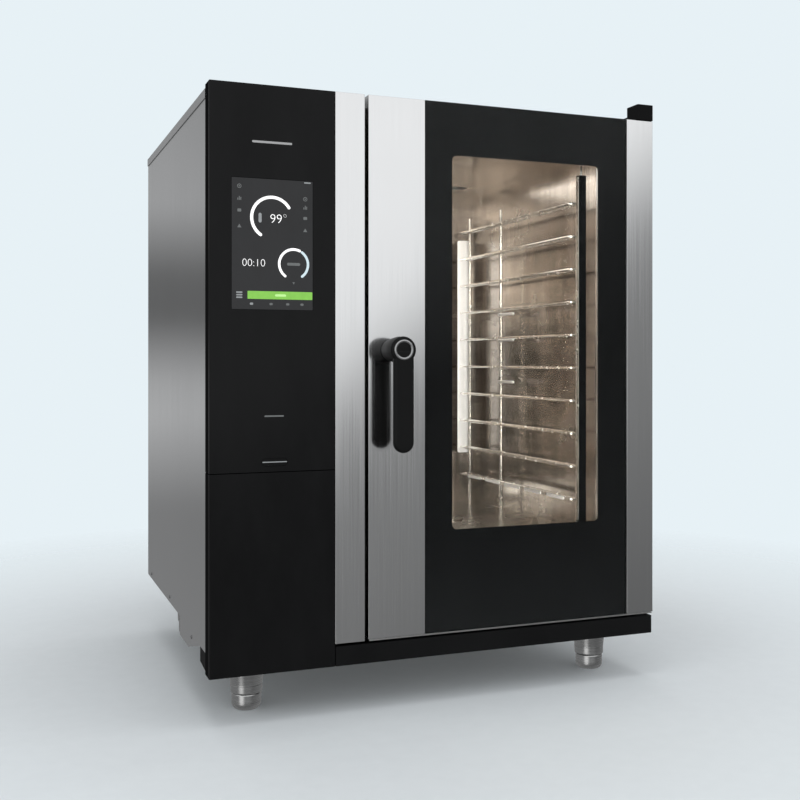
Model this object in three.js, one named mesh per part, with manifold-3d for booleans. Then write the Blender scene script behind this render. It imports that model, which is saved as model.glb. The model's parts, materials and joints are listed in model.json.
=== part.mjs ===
// A ten-level combi steamer oven: control column on the left, glazed door hinged on the right,
// four screw-in feet. Millimetres, +Z up, the door faces -Y, +X to the right.
// The origin is the centre of the bounding box's bottom face, on the floor.
import * as THREE from 'three';
import { mergeVertices } from 'three/addons/utils/BufferGeometryUtils.js';
import Module from 'manifold-3d';

const wasm = await Module();
wasm.setup();

// ---------------------------------------------------------------- driving dimensions

const WIDTH = 898;
const DEPTH = 817;            // handle front to casing rear
const HANDLE_REACH = 66;      // handle front to door front
const FOOT_HEIGHT = 86;       // floor to underside of the plinth
const PLINTH_TOP = 121;
const ROOF_TOP = 1111;
const FRONT_TOP = 1117;       // top of the door and of the control column
const SHEET = 1.5;            // casing sheet metal
const GAP = 0.4;              // between neighbours that touch
const ROUND = 16;             // sides of a round piece

const LEFT = -WIDTH / 2;
const RIGHT = WIDTH / 2;
const REAR = DEPTH / 2;
const FRONT = -DEPTH / 2 + HANDLE_REACH;
const CASING_LEFT = LEFT + 1.6;
const CASING_RIGHT = RIGHT - 1.6;
const PANEL_BOTTOM = 129;     // lower edge of the side panels
const REAR_PANEL_Y = REAR - 24;

// control column
const COLUMN_WIDTH = 227;
const PILLAR_WIDTH = 56;
const COLUMN_RIGHT = LEFT + COLUMN_WIDTH;
const PILLAR_RIGHT = COLUMN_RIGHT + PILLAR_WIDTH;
const BEZEL_DEPTH = 36;
const COLUMN_BACK = FRONT + BEZEL_DEPTH;
const GLASS = 4;
const FLAP_TOP = 438;
const DISPLAY = { x: -337, z: 838, w: 146, h: 229 };
const LATCH = { x: -333.5, z: FLAP_TOP + 18, w: 46, h: 13 };

// door
const DOOR_LEFT = PILLAR_RIGHT + 7;
const DOOR_BOTTOM = 125.4;
const DOOR_DEPTH = 66;
const DOOR_BACK = FRONT + DOOR_DEPTH;
const GLASS_LEFT = DOOR_LEFT + 111;
const GLASS_RIGHT = RIGHT - 61;
const WINDOW = { x0: 8.5, x1: 324, z0: 318, z1: 1019, r: 10 };
const HINGE = { x: 424, y: FRONT + 20.5, pin: 6 };
const HANDLE = { x: -115, z: 653.5, head: 24, width: 38, bottom: 470, back: FRONT - 51.5 };
const SPINDLE_R = 6;

// oven cavity
const FLANGE_Y = DOOR_BACK + 7.5;
const CAVITY = { x0: -140, x1: 372, y1: 348, z0: 275, z1: 1068 };
const MOUTH_LEFT = -62;
const LINER = 2;
const BAFFLE_X = -34;
const TRAY_X = 168;
const LEVELS = 10;
const LEVEL_PITCH = 68;
const FIRST_RAIL = 350;
const FAN = { y: 40, z: 671, r: 165 };
const DRAIN = { x: TRAY_X, y: 60, r: 30 };
const EXHAUST = { x: 300, y: 290, r: 25 };
const INLET = { x: -87, y: 290, r: 20 };
const STACK_TOP = 1138;       // top of both roof pipes
const DAMPER_Z = 1125;
const INSULATION = 31;
const STEAM_PORT = { y: 190, z: 560, r: 10 };
const FOOT = { x: 361, front: FRONT + 100, rear: 330, stem: 8, socket: 9 };

// casing openings and what sits in them
const SIDE_LIP = { front: -250, low: -130, back: -36, z: 91 };
const WATER = { x: -390, z: 172, r: 13, step: 50 };
const GLAND = { x: -280, z: 172, r: 15 };
const DRAIN_PIPE = { z: 172, r: 25 };
const COOLING_FAN = { x: -310, z: 860, r: 54, hub: 20 };
const REAR_SLOTS = { x0: -380, x1: -240, z: 500, count: 8, pitch: 22, height: 8 };
const FILTER = { x0: -414, x1: -258, z0: 186, z1: 394, pleats: 12, depth: 9, skin: 3 };

// ---------------------------------------------------------------- materials

const paint = (color, roughness, metalness) => () =>
  new THREE.MeshStandardMaterial({ color, roughness, metalness });
const steel = paint(0xb9b9b6, 0.35, 1);
const polished = paint(0xc9c4bd, 0.2, 1);
const galvanised = paint(0x9aa0a3, 0.5, 0.9);
const blackGlass = paint(0x161616, 0.08, 0);
const blackPlastic = paint(0x141414, 0.5, 0);
const clearGlass = paint(0xcfd8d6, 0.05, 0);
const rubber = paint(0x1b1b1b, 0.8, 0);
const wool = paint(0xd8cfa6, 0.95, 0);
const screen = paint(0x2a2c2e, 0.2, 0);
const aluminium = paint(0xa7a9ab, 0.45, 0.9);
const brass = paint(0xb08d4a, 0.35, 1);

// ---------------------------------------------------------------- solids

function solid(geometry) {
  const bare = geometry.clone();
  bare.deleteAttribute('normal');
  bare.deleteAttribute('uv');
  const merged = mergeVertices(bare, 1e-4);
  return new wasm.Manifold(new wasm.Mesh({
    numProp: 3,
    vertProperties: new Float32Array(merged.attributes.position.array),
    triVerts: new Uint32Array(merged.index.array),
  }));
}

function geometryOf(manifold) {
  const mesh = manifold.getMesh();
  const geometry = new THREE.BufferGeometry();
  geometry.setAttribute('position', new THREE.BufferAttribute(new Float32Array(mesh.vertProperties), 3));
  geometry.setIndex(new THREE.BufferAttribute(new Uint32Array(mesh.triVerts), 1));
  return geometry;
}

const join = (...pieces) => pieces.reduce((sum, piece) => sum.add(piece));
const cut = (body, ...tools) => tools.reduce((rest, tool) => rest.subtract(tool), body);

// a box between two corners
function box(x0, x1, y0, y1, z0, z1) {
  const geometry = new THREE.BoxGeometry(x1 - x0, y1 - y0, z1 - z0);
  return solid(geometry.translate((x0 + x1) / 2, (y0 + y1) / 2, (z0 + z1) / 2));
}

// (x, y, z) to (z, x, y), which is a turn, and to (x, z, y), which is a mirror image
const Z_TO_X = new THREE.Matrix4().set(0, 0, 1, 0, 1, 0, 0, 0, 0, 1, 0, 0, 0, 0, 0, 1);
const Z_TO_Y = new THREE.Matrix4().set(1, 0, 0, 0, 0, 0, 1, 0, 0, 1, 0, 0, 0, 0, 0, 1);

// an outline of [a, b] points pushed along an axis from one place to another
function prism(axis, outline, from, to) {
  const shape = outline instanceof THREE.Shape
    ? outline
    : new THREE.Shape(outline.map(([a, b]) => new THREE.Vector2(a, b)));
  const options = { depth: to - from, bevelEnabled: false, curveSegments: 4 };
  const geometry = new THREE.ExtrudeGeometry(shape, options).translate(0, 0, from);
  if (axis === 'x') geometry.applyMatrix4(Z_TO_X);
  if (axis === 'y') return solid(flipped(geometry.applyMatrix4(Z_TO_Y)));
  return solid(geometry);
}

// swapping two axes mirrors a shape, so its triangles are turned back to face outwards
function flipped(geometry) {
  const plain = geometry.index ? geometry.toNonIndexed() : geometry;
  const position = plain.attributes.position;
  for (let i = 0; i < position.count; i += 3) {
    for (let axis = 0; axis < 3; axis += 1) {
      const kept = position.getComponent(i + 1, axis);
      position.setComponent(i + 1, axis, position.getComponent(i + 2, axis));
      position.setComponent(i + 2, axis, kept);
    }
  }
  return plain;
}

// a round bar along an axis, centred on the other two coordinates
function bar(axis, centre, radius, from, to, radiusTo = radius, sides = ROUND) {
  const geometry = new THREE.CylinderGeometry(radiusTo, radius, to - from, sides);
  geometry.translate(0, (from + to) / 2, 0);
  const [a, b] = centre;
  if (axis === 'x') geometry.rotateZ(-Math.PI / 2).translate(0, a, b);
  if (axis === 'y') geometry.translate(a, 0, b);
  if (axis === 'z') geometry.rotateX(Math.PI / 2).translate(a, b, 0);
  return solid(geometry);
}

function pipe(axis, centre, outer, inner, from, to) {
  return cut(bar(axis, centre, outer, from, to), bar(axis, centre, inner, from - 1, to + 1));
}

// a turned piece: [radius, z] points from the bottom of the axis round to its top
function turned(profile, x, y, sides = 16) {
  const points = profile.map(([r, z]) => new THREE.Vector2(r, z));
  return solid(new THREE.LatheGeometry(points, sides).rotateX(Math.PI / 2).translate(x, y, 0));
}

function roundedRect(x0, x1, z0, z1, r) {
  const shape = new THREE.Shape();
  shape.moveTo(x0 + r, z0);
  shape.lineTo(x1 - r, z0);
  shape.absarc(x1 - r, z0 + r, r, -Math.PI / 2, 0);
  shape.lineTo(x1, z1 - r);
  shape.absarc(x1 - r, z1 - r, r, 0, Math.PI / 2);
  shape.lineTo(x0 + r, z1);
  shape.absarc(x0 + r, z1 - r, r, Math.PI / 2, Math.PI);
  shape.lineTo(x0, z0 + r);
  shape.absarc(x0 + r, z0 + r, r, Math.PI, 1.5 * Math.PI);
  return shape;
}

const group = new THREE.Group();

function node(name, body, material) {
  const mesh = new THREE.Mesh(geometryOf(body), material());
  mesh.name = name;
  group.add(mesh);
}

// ---------------------------------------------------------------- casing

const BASE = { halfWidth: 440, railHalf: 27, floor: 118, sheet: 2 };

// the wide bell above each foot, tapering down to the foot's pad
function legSocket(x, y) {
  const bore = FOOT.socket;
  const top = FOOT_HEIGHT - 0.3;
  return turned([[bore, 30], [29, 30], [31, 56], [33, top], [bore, top], [bore, 30]], x, y, 12);
}

function basePan() {
  const { halfWidth, railHalf, floor, sheet } = BASE;
  const inside = halfWidth - sheet;
  const across = railHalf - sheet;
  const rail = (y) => cut(
    box(-halfWidth, halfWidth, y - railHalf, y + railHalf, FOOT_HEIGHT - GAP, floor),
    box(-inside, inside, y - across, y + across, FOOT_HEIGHT + sheet, floor),
  );
  const pan = box(-halfWidth, halfWidth, FRONT + 92, REAR_PANEL_Y - sheet, floor, floor + sheet);
  const holes = [];
  const sockets = [];
  for (const x of [-FOOT.x, FOOT.x]) {
    for (const y of [FOOT.front, FOOT.rear]) {
      sockets.push(legSocket(x, y));
      holes.push(bar('z', [x, y], FOOT.socket, 20, 110, FOOT.socket, 12));
    }
  }
  const frontRail = FOOT.front + 20;
  return cut(join(pan, rail(frontRail), rail(FOOT.rear), ...sockets), ...holes);
}

// the drip gutter under the door, its two ends, and the plain stretch behind the service flap
function baseGutter() {
  const back = FRONT + 91.5;
  const wall = 8;
  const backWall = 33;
  const backBottom = 95;
  const start = COLUMN_BACK + 3.5;
  const trough = [
    [FRONT, FOOT_HEIGHT], [back, backBottom], [back, PLINTH_TOP], [back - backWall, PLINTH_TOP],
    [back - backWall, 106], [FRONT + wall, 100], [FRONT + wall, PLINTH_TOP], [FRONT, PLINTH_TOP],
  ];
  const behindFlap = [[start, 89.5], [back, backBottom], [back, PLINTH_TOP], [start, PLINTH_TOP]];
  const endBlock = [[FRONT, FOOT_HEIGHT], [back, backBottom], [back, PLINTH_TOP], [FRONT, PLINTH_TOP]];
  return join(
    prism('x', trough, COLUMN_RIGHT + 1, HINGE.x - 26),
    prism('x', endBlock, HINGE.x - 27, RIGHT - 3),
    prism('x', endBlock, COLUMN_RIGHT + 1, COLUMN_RIGHT + 12),
    prism('x', behindFlap, CASING_LEFT, COLUMN_RIGHT + 2),
  );
}

function sidePanel(front, lip) {
  const top = ROOF_TOP - SHEET - GAP;
  const high = PLINTH_TOP + 0.5;
  const lipOutline = [
    [front, high], [SIDE_LIP.front, high], [SIDE_LIP.low, SIDE_LIP.z], [SIDE_LIP.back, SIDE_LIP.z],
    [SIDE_LIP.back, PANEL_BOTTOM],
  ];
  const outline = lip ? lipOutline : [[front, PANEL_BOTTOM]];
  return [...outline, [REAR, PANEL_BOTTOM], [REAR, top], [front, top]];
}

const REAR_HEM = 16;

function sidePanelLeft() {
  const front = COLUMN_BACK + 2.5;
  return join(
    prism('x', sidePanel(front, true), CASING_LEFT, CASING_LEFT + SHEET),
    box(CASING_LEFT, CASING_LEFT + REAR_HEM, REAR - SHEET, REAR, PANEL_BOTTOM, ROOF_TOP - 2),
  );
}

function sidePanelRight() {
  const front = FLANGE_Y + GAP;
  return join(
    prism('x', sidePanel(front, false), CASING_RIGHT - SHEET, CASING_RIGHT),
    box(CASING_RIGHT - REAR_HEM, CASING_RIGHT, REAR - SHEET, REAR, PANEL_BOTTOM, ROOF_TOP - 2),
  );
}

function rearPanel() {
  const before = REAR_PANEL_Y - 5;
  const behind = REAR_PANEL_Y + 5;
  const across = (x, z, r) => bar('y', [x, z], r, before, behind);
  const { x0, x1, count, pitch, height } = REAR_SLOTS;
  const slots = [];
  for (let i = 0; i < count; i += 1) {
    const z = REAR_SLOTS.z + i * pitch;
    slots.push(box(x0, x1, before, behind, z, z + height));
  }
  return cut(
    box(CASING_LEFT + 2, CASING_RIGHT - 2, REAR_PANEL_Y, REAR_PANEL_Y + SHEET, PANEL_BOTTOM, ROOF_TOP - 2),
    across(WATER.x, WATER.z, WATER.r + 1),
    across(WATER.x + WATER.step, WATER.z, WATER.r + 1),
    across(GLAND.x, GLAND.z, GLAND.r + 0.5),
    across(DRAIN.x, DRAIN_PIPE.z, DRAIN_PIPE.r + 1.5),
    across(COOLING_FAN.x, COOLING_FAN.z, COOLING_FAN.r - 4),
    ...slots,
  );
}

function roofPanel() {
  const bottom = ROOF_TOP - SHEET;
  const skirt = ROOF_TOP - 16;
  const skin = 1.2;
  const columnFront = COLUMN_BACK + 2.5;
  return cut(
    join(
      box(LEFT, RIGHT, FLANGE_Y + GAP, REAR, bottom, ROOF_TOP),
      box(LEFT, PILLAR_RIGHT - 2, columnFront, FLANGE_Y + 1, bottom, ROOF_TOP),
      box(LEFT, LEFT + skin, columnFront, REAR, skirt, ROOF_TOP),
      box(RIGHT - skin, RIGHT, FLANGE_Y + GAP, REAR, skirt, ROOF_TOP),
    ),
    bar('z', [EXHAUST.x, EXHAUST.y], EXHAUST.r + 1.5, bottom - 5, ROOF_TOP + 5),
    bar('z', [INLET.x, INLET.y], INLET.r + 1.5, bottom - 5, ROOF_TOP + 5),
  );
}

function hingeBracketTop() {
  const bottom = FRONT_TOP + 1;
  const left = HINGE.x - 12;
  const rearFoot = FLANGE_Y + 32;
  return join(
    box(left, RIGHT, FRONT - 3, FRONT + 38, bottom, bottom + 31),
    box(left + 3, RIGHT - 3, FRONT + 36, rearFoot, bottom, bottom + 13),
    box(left + 3, RIGHT - 3, FLANGE_Y + 4, rearFoot, ROOF_TOP + GAP, bottom + 2),
    bar('z', [HINGE.x, HINGE.y], HINGE.pin, bottom - 24, bottom + 2),
  );
}

function hingeBracketBottom() {
  const bottom = PLINTH_TOP + GAP;
  const top = DOOR_BOTTOM - 1;
  return join(
    bar('z', [HINGE.x, HINGE.y], 20, bottom, top),
    box(HINGE.x - 16, HINGE.x + 16, HINGE.y, FRONT + 72, bottom, top),
    bar('z', [HINGE.x, HINGE.y], HINGE.pin, bottom, DOOR_BOTTOM + 24),
  );
}

// a round pad on a screwed stem
function foot(x, y) {
  const { stem } = FOOT;
  const pad = { base: 21, r: 27, top: 29 };
  const stemTop = FOOT_HEIGHT - 4;
  return turned([
    [0, 0], [pad.base, 0], [pad.r, 8], [pad.r, pad.top], [stem, pad.top], [stem, stemTop], [0, stemTop],
  ], x, y, 12);
}

node('base_pan', basePan(), steel);
node('base_gutter', baseGutter(), blackPlastic);
node('side_panel_left', sidePanelLeft(), steel);
node('side_panel_right', sidePanelRight(), steel);
node('rear_panel', rearPanel(), galvanised);
node('roof_panel', roofPanel(), steel);
node('hinge_bracket_top', hingeBracketTop(), blackPlastic);
node('hinge_bracket_bottom', hingeBracketBottom(), blackPlastic);
for (const [end, y] of [['front', FOOT.front], ['rear', FOOT.rear]]) {
  for (const [side, x] of [['left', -FOOT.x], ['right', FOOT.x]]) {
    node(`foot_${end}_${side}`, foot(x, y), steel);
  }
}

// ---------------------------------------------------------------- control column

// an open tray of sheet that backs a glass front: four walls, with its front and back open
function surround(x0, x1, y0, y1, z0, z1, wall) {
  return cut(box(x0, x1, y0, y1, z0, z1), box(x0 + wall, x1 - wall, y0 - 1, y1 + 1, z0 + wall, z1 - wall));
}

// a front glass whose long left edge is ground to a bevel
function frontGlass(z0, z1) {
  const bevel = 1.5;
  const right = COLUMN_RIGHT - GAP;
  return prism('z', [
    [LEFT, FRONT + bevel], [LEFT + bevel, FRONT], [right, FRONT], [right, FRONT + GLASS], [LEFT, FRONT + GLASS],
  ], z0, z1);
}

function latchOutline(grow) {
  const { x, z, w, h } = LATCH;
  const halfWidth = w / 2 + grow;
  const halfHeight = h / 2 + grow;
  return roundedRect(x - halfWidth, x + halfWidth, z - halfHeight, z + halfHeight, halfHeight - 0.1);
}

function fasciaGlass() {
  const { x, z, w, h } = DISPLAY;
  return cut(
    frontGlass(FLAP_TOP + 1.5, FRONT_TOP),
    box(x - w / 2 - GAP, x + w / 2 + GAP, FRONT - 5, FRONT + 10, z - h / 2 - GAP, z + h / 2 + GAP),
    prism('y', latchOutline(GAP), FRONT - 5, FRONT + 10),
  );
}

function fasciaBezel() {
  const y0 = FRONT + GLASS + GAP;
  const right = COLUMN_RIGHT - GAP;
  return join(
    surround(LEFT, right, y0, COLUMN_BACK, FLAP_TOP + 1.5, FRONT_TOP, 3),
    // a cross bar over the latch keeps the two long walls apart
    box(LEFT, right, y0 + 14, COLUMN_BACK, FLAP_TOP + 40, FLAP_TOP + 46),
  );
}

function displayScreen() {
  const { x, z, w, h } = DISPLAY;
  return join(
    box(x - w / 2, x + w / 2, FRONT + 0.3, FRONT + 8, z - h / 2, z + h / 2),
    box(x - w / 2 - 5, x + w / 2 + 5, FRONT + GLASS + GAP, FRONT + 28, z - h / 2 - 5, z + h / 2 + 5),
  );
}

function flapPan() {
  const y0 = FRONT + GLASS + GAP;
  const right = COLUMN_RIGHT - GAP;
  return join(
    surround(LEFT, right, y0, COLUMN_BACK, FOOT_HEIGHT, FLAP_TOP, 3),
    box(LEFT, right, y0, y0 + 2, FLAP_TOP - 30, FLAP_TOP),
  );
}

function flapLatch() {
  return join(
    prism('y', latchOutline(0), FRONT + 0.3, FRONT + 10),
    box(LATCH.x - 10, LATCH.x + 10, FRONT + 9, FRONT + 24, LATCH.z - 4, LATCH.z + 4),
  );
}

function columnFrontPlate() {
  const y0 = COLUMN_BACK + 2.5;
  return cut(
    box(CASING_LEFT + 2.5, PILLAR_RIGHT - 3, y0, y0 + SHEET, PLINTH_TOP + 1, ROOF_TOP - 2),
    box(-390, -284, y0 - 5, y0 + 5, 760, 900),
    box(FILTER.x0 + 4, FILTER.x1 - 4, y0 - 5, y0 + 5, FILTER.z0 + 4, FILTER.z1 - 4),
  );
}

function frontPillar() {
  const x0 = COLUMN_RIGHT;
  const x1 = PILLAR_RIGHT;
  const back = FLANGE_Y - GAP;
  return prism('z', [
    [x0, FRONT], [x1, FRONT], [x1, back], [x1 - SHEET, back], [x1 - SHEET, FRONT + SHEET],
    [x0 + SHEET, FRONT + SHEET], [x0 + SHEET, COLUMN_BACK], [x0, COLUMN_BACK],
  ], PLINTH_TOP + 5, FRONT_TOP);
}

// a pleated sheet across the intake, open to the column behind
function airFilter() {
  const { x0, x1, z0, z1, pleats, depth, skin } = FILTER;
  const y0 = COLUMN_BACK + 2.5 + SHEET + GAP;
  const halfPitch = (x1 - x0) / pleats / 2;
  const near = [];
  const far = [];
  for (let i = 0; i <= pleats * 2; i += 1) {
    const y = y0 + (i % 2) * depth;
    near.push([x0 + i * halfPitch, y]);
    far.unshift([x0 + i * halfPitch, y + skin]);
  }
  return prism('z', [...near, ...far], z0, z1);
}

// a back plate that carries the boxed control board above and a row of power relays below
function controlBox() {
  const x0 = -430;
  const x1 = -236;
  const plate = { y0: -290, y1: -288 };
  const relay = { width: 36, step: 45, count: 4 };
  const pieces = [
    box(x0, x1, plate.y0, plate.y1, 600, 1060),
    box(x0 + 10, x1 - 10, plate.y1 - 0.5, -236, 780, 1050),
  ];
  for (let i = 0; i < relay.count; i += 1) {
    const left = x0 + 10 + i * relay.step;
    pieces.push(box(left, left + relay.width, plate.y1 - 0.5, -220, 630, 720));
  }
  return join(...pieces);
}

function coolingFanHousing() {
  const { x, z, r } = COOLING_FAN;
  const y1 = REAR_PANEL_Y - GAP;
  return join(
    cut(box(x - 60, x + 60, y1 - 32, y1, z - 60, z + 60), bar('y', [x, z], r, y1 - 40, y1 + 5)),
    box(x - 60, x + 60, y1 - 3, y1, z - 3, z + 3),
    box(x - 3, x + 3, y1 - 3, y1, z - 60, z + 60),
  );
}

function coolingFanRotor() {
  const { x, z, r, hub } = COOLING_FAN;
  const y0 = REAR_PANEL_Y - GAP - 28;
  const blades = 7;
  const rotor = [bar('y', [x, z], hub, y0, y0 + 22)];
  for (let i = 0; i < blades; i += 1) {
    const blade = new THREE.BoxGeometry(r - hub + 2 - 3, 3, 22);
    blade.rotateX(Math.PI / 4).translate((r + hub - 2 - 3) / 2, 0, 0);
    blade.rotateY((i / blades) * 2 * Math.PI).translate(x, y0 + 11, z);
    rotor.push(solid(blade));
  }
  return join(...rotor);
}

function cableGland() {
  const y0 = REAR_PANEL_Y;
  const at = [GLAND.x, GLAND.z];
  return cut(
    join(
      bar('y', at, GLAND.r, y0 - 14, y0 + 14),
      bar('y', at, GLAND.r + 5, y0 + SHEET + GAP, y0 + 9, GLAND.r + 5, 6),
      bar('y', at, GLAND.r + 5, y0 - 9, y0 - GAP, GLAND.r + 5, 6),
      bar('y', at, GLAND.r, y0 + 13, y0 + 22, GLAND.r - 4),
    ),
    bar('y', at, GLAND.r - 5, y0 - 20, y0 + 30),
  );
}

node('fascia_glass', fasciaGlass(), blackGlass);
node('fascia_bezel', fasciaBezel(), blackPlastic);
node('display_screen', displayScreen(), screen);
node('flap_glass', frontGlass(FOOT_HEIGHT, FLAP_TOP), blackGlass);
node('flap_pan', flapPan(), blackPlastic);
node('flap_latch', flapLatch(), blackPlastic);
node('column_front_plate', columnFrontPlate(), galvanised);
node('front_pillar', frontPillar(), steel);
node('air_filter', airFilter(), wool);
node('control_box', controlBox(), galvanised);
node('cooling_fan_housing', coolingFanHousing(), blackPlastic);
node('cooling_fan_rotor', coolingFanRotor(), blackPlastic);
node('cable_gland', cableGland(), blackPlastic);

// ---------------------------------------------------------------- oven cavity

function portsOfCavity(clearance) {
  const { x0, z0, z1 } = CAVITY;
  return [
    bar('x', [FAN.y, FAN.z], 14 + clearance, x0 - 50, x0 + 10),
    bar('x', [STEAM_PORT.y, STEAM_PORT.z], STEAM_PORT.r + 2 + clearance, x0 - 50, x0 + 10),
    bar('z', [DRAIN.x, DRAIN.y], DRAIN.r + clearance, z0 - 50, z0 + 10),
    bar('z', [EXHAUST.x, EXHAUST.y], EXHAUST.r + 1 + clearance, z1 - 10, z1 + 50),
    bar('z', [INLET.x, INLET.y], INLET.r + 1 + clearance, z1 - 10, z1 + 50),
  ];
}

function cavityLiner() {
  const { x0, x1, y1, z0, z1 } = CAVITY;
  const back = FLANGE_Y + LINER;
  return cut(
    join(
      box(PILLAR_RIGHT + 1, CASING_RIGHT - 3, FLANGE_Y, back, PLINTH_TOP + 1, ROOF_TOP - 2),
      box(x0 - LINER, x1 + LINER, FLANGE_Y, y1 + LINER, z0 - LINER, z1 + LINER),
    ),
    box(x0, x1, back, y1, z0, z1),
    box(MOUTH_LEFT, x1, FLANGE_Y - 5, back + 5, z0, z1),
    ...portsOfCavity(0),
  );
}

function insulationJacket() {
  const { x0, x1, y1, z0, z1 } = CAVITY;
  const near = LINER + GAP;
  const far = LINER + INSULATION;
  return cut(
    box(x0 - far, x1 + far, FLANGE_Y + near, y1 + far, z0 - far, z1 + far),
    box(x0 - near, x1 + near, FLANGE_Y, y1 + near, z0 - near, z1 + near),
    ...portsOfCavity(2),
  );
}

function doorGasket() {
  const { x1, z0, z1 } = CAVITY;
  const ring = (grow) => roundedRect(MOUTH_LEFT - grow, x1 + grow, z0 - grow, z1 + grow, 4 + grow);
  const y0 = DOOR_BACK + 0.3;
  const y1 = FLANGE_Y - 0.3;
  return cut(prism('y', ring(14), y0, y1), prism('y', ring(2), y0 - 1, y1 + 1));
}

function latchKeeper() {
  return join(
    box(-157, -143, FLANGE_Y - 2.5, FLANGE_Y - 0.3, HANDLE.z - 28, HANDLE.z + 28),
    bar('y', [-150, HANDLE.z], 6, FLANGE_Y - 6.8, FLANGE_Y - 2),
  );
}

// the round suction grille is a row of slots whose lengths follow the circle
function airBaffle() {
  const { x0, y1, z0, z1 } = CAVITY;
  const edge = 12;
  const y0 = FLANGE_Y + LINER + edge;
  const back = y1 - edge;
  const grille = 125;
  const pitch = 16;
  const slots = [];
  for (let row = -7; row <= 7; row += 1) {
    const z = FAN.z + row * pitch;
    const half = Math.sqrt(grille ** 2 - (row * pitch) ** 2);
    slots.push(box(BAFFLE_X - 5, BAFFLE_X + 5, FAN.y - half, FAN.y + half, z - 5, z + 5));
  }
  const posts = [];
  for (const y of [y0 + 14, back - 14]) {
    for (const z of [z0 + 60, z1 - 60]) {
      posts.push(bar('x', [y, z], 6, x0 + GAP, BAFFLE_X + 1, 6, 8));
    }
  }
  return join(cut(box(BAFFLE_X, BAFFLE_X + SHEET, y0, back, z0 + edge, z1 - edge), ...slots), ...posts);
}

function baffleLock(z) {
  const y = FLANGE_Y + LINER + 26;
  const x = BAFFLE_X + SHEET + GAP;
  return join(
    bar('x', [y, z], 9, x, x + 6),
    box(x + 3, x + 11, y - 2.5, y + 2.5, z - 16, z + 16),
  );
}

// side: +1 for the right rack, -1 for the left; the rails reach in under the trays
function rack(side) {
  const at = (dx) => TRAY_X + side * dx;
  const span = (a, b, ...rest) => box(Math.min(at(a), at(b)), Math.max(at(a), at(b)), ...rest);
  const rod = 4;
  const uprights = [-226, 130, 306];
  const railFront = -238;
  const railBack = 318;
  const top = FIRST_RAIL + (LEVELS - 1) * LEVEL_PITCH + 34;
  const pieces = uprights.map((y) => span(172, 180, y - rod, y + rod, CAVITY.z0 + GAP, top));
  for (let i = 0; i < LEVELS; i += 1) {
    const z = FIRST_RAIL + i * LEVEL_PITCH;
    pieces.push(span(150, 174, railFront, railBack, z - 2, z));
    pieces.push(span(172.5, 174, railFront, railBack, z - 2, z + 12));
  }
  return join(...pieces);
}

function fanWheel() {
  const { y, z, r } = FAN;
  const blades = 12;
  const x0 = CAVITY.x0 + 24;
  const pieces = [
    cut(bar('x', [y, z], r, x0, x0 + 3), bar('x', [y, z], 10.2, x0 - 1, x0 + 4)),
    cut(bar('x', [y, z], 24, x0 + 2, x0 + 40), bar('x', [y, z], 10.2, x0 - 1, x0 + 50)),
    cut(bar('x', [y, z], r, x0 + 60, x0 + 62), bar('x', [y, z], r - 36, x0 + 50, x0 + 70)),
  ];
  for (let i = 0; i < blades; i += 1) {
    const blade = new THREE.BoxGeometry(60, 2, 44);
    blade.rotateX(0.5).translate(x0 + 32, 0, r - 26);
    blade.rotateX((i / blades) * 2 * Math.PI).translate(0, y, z);
    pieces.push(solid(blade));
  }
  return join(...pieces);
}

function fanShaft() {
  return bar('x', [FAN.y, FAN.z], 10, CAVITY.x0 - 110, CAVITY.x0 + 70);
}

function fanMotor() {
  const { y, z } = FAN;
  const front = CAVITY.x0 - LINER - INSULATION - GAP;
  return cut(
    join(
      box(front - 4, front, y - 80, y + 80, z - 80, z + 80),
      bar('x', [y, z], 62, front - 140, front - 3),
      bar('x', [y, z], 68, front - 120, front - 24),
      box(front - 100, front - 40, y - 30, y + 30, z + 60, z + 88),
    ),
    bar('x', [y, z], 11, front - 80, front + 5),
  );
}

function heatingElement() {
  const { y, z, r } = FAN;
  const ring = r + 26;
  const pieces = [];
  const places = [CAVITY.x0 + 34, CAVITY.x0 + 62];
  for (const x of places) {
    const loop = new THREE.TorusGeometry(ring, 4.5, 6, 20).rotateY(Math.PI / 2).translate(x, y, z);
    pieces.push(solid(loop));
  }
  for (const angle of [0.25, 0.75, 1.25, 1.75]) {
    const at = [y + (ring - 1) * Math.cos(angle * Math.PI), z + (ring - 1) * Math.sin(angle * Math.PI)];
    pieces.push(bar('x', at, 5, CAVITY.x0 + GAP, places[1], 5, 6));
  }
  return join(...pieces);
}

node('cavity_liner', cavityLiner(), polished);
node('insulation_jacket', insulationJacket(), wool);
node('door_gasket', doorGasket(), rubber);
node('latch_keeper', latchKeeper(), steel);
node('air_baffle', airBaffle(), polished);
node('baffle_lock_upper', baffleLock(960), steel);
node('baffle_lock_lower', baffleLock(400), steel);
node('rack_left', rack(-1), steel);
node('rack_right', rack(1), steel);
node('fan_wheel', fanWheel(), polished);
node('fan_shaft', fanShaft(), steel);
node('fan_motor', fanMotor(), aluminium);
node('heating_element', heatingElement(), steel);

// ---------------------------------------------------------------- steam, water and air

function steamGenerator() {
  const at = [-330, 240];
  const top = 470;
  return join(
    bar('z', at, 75, 130, top - 20),
    bar('z', at, 75, top - 20, top, 50),
    box(-345, -315, 158, 170, 150, 220),
  );
}

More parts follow.
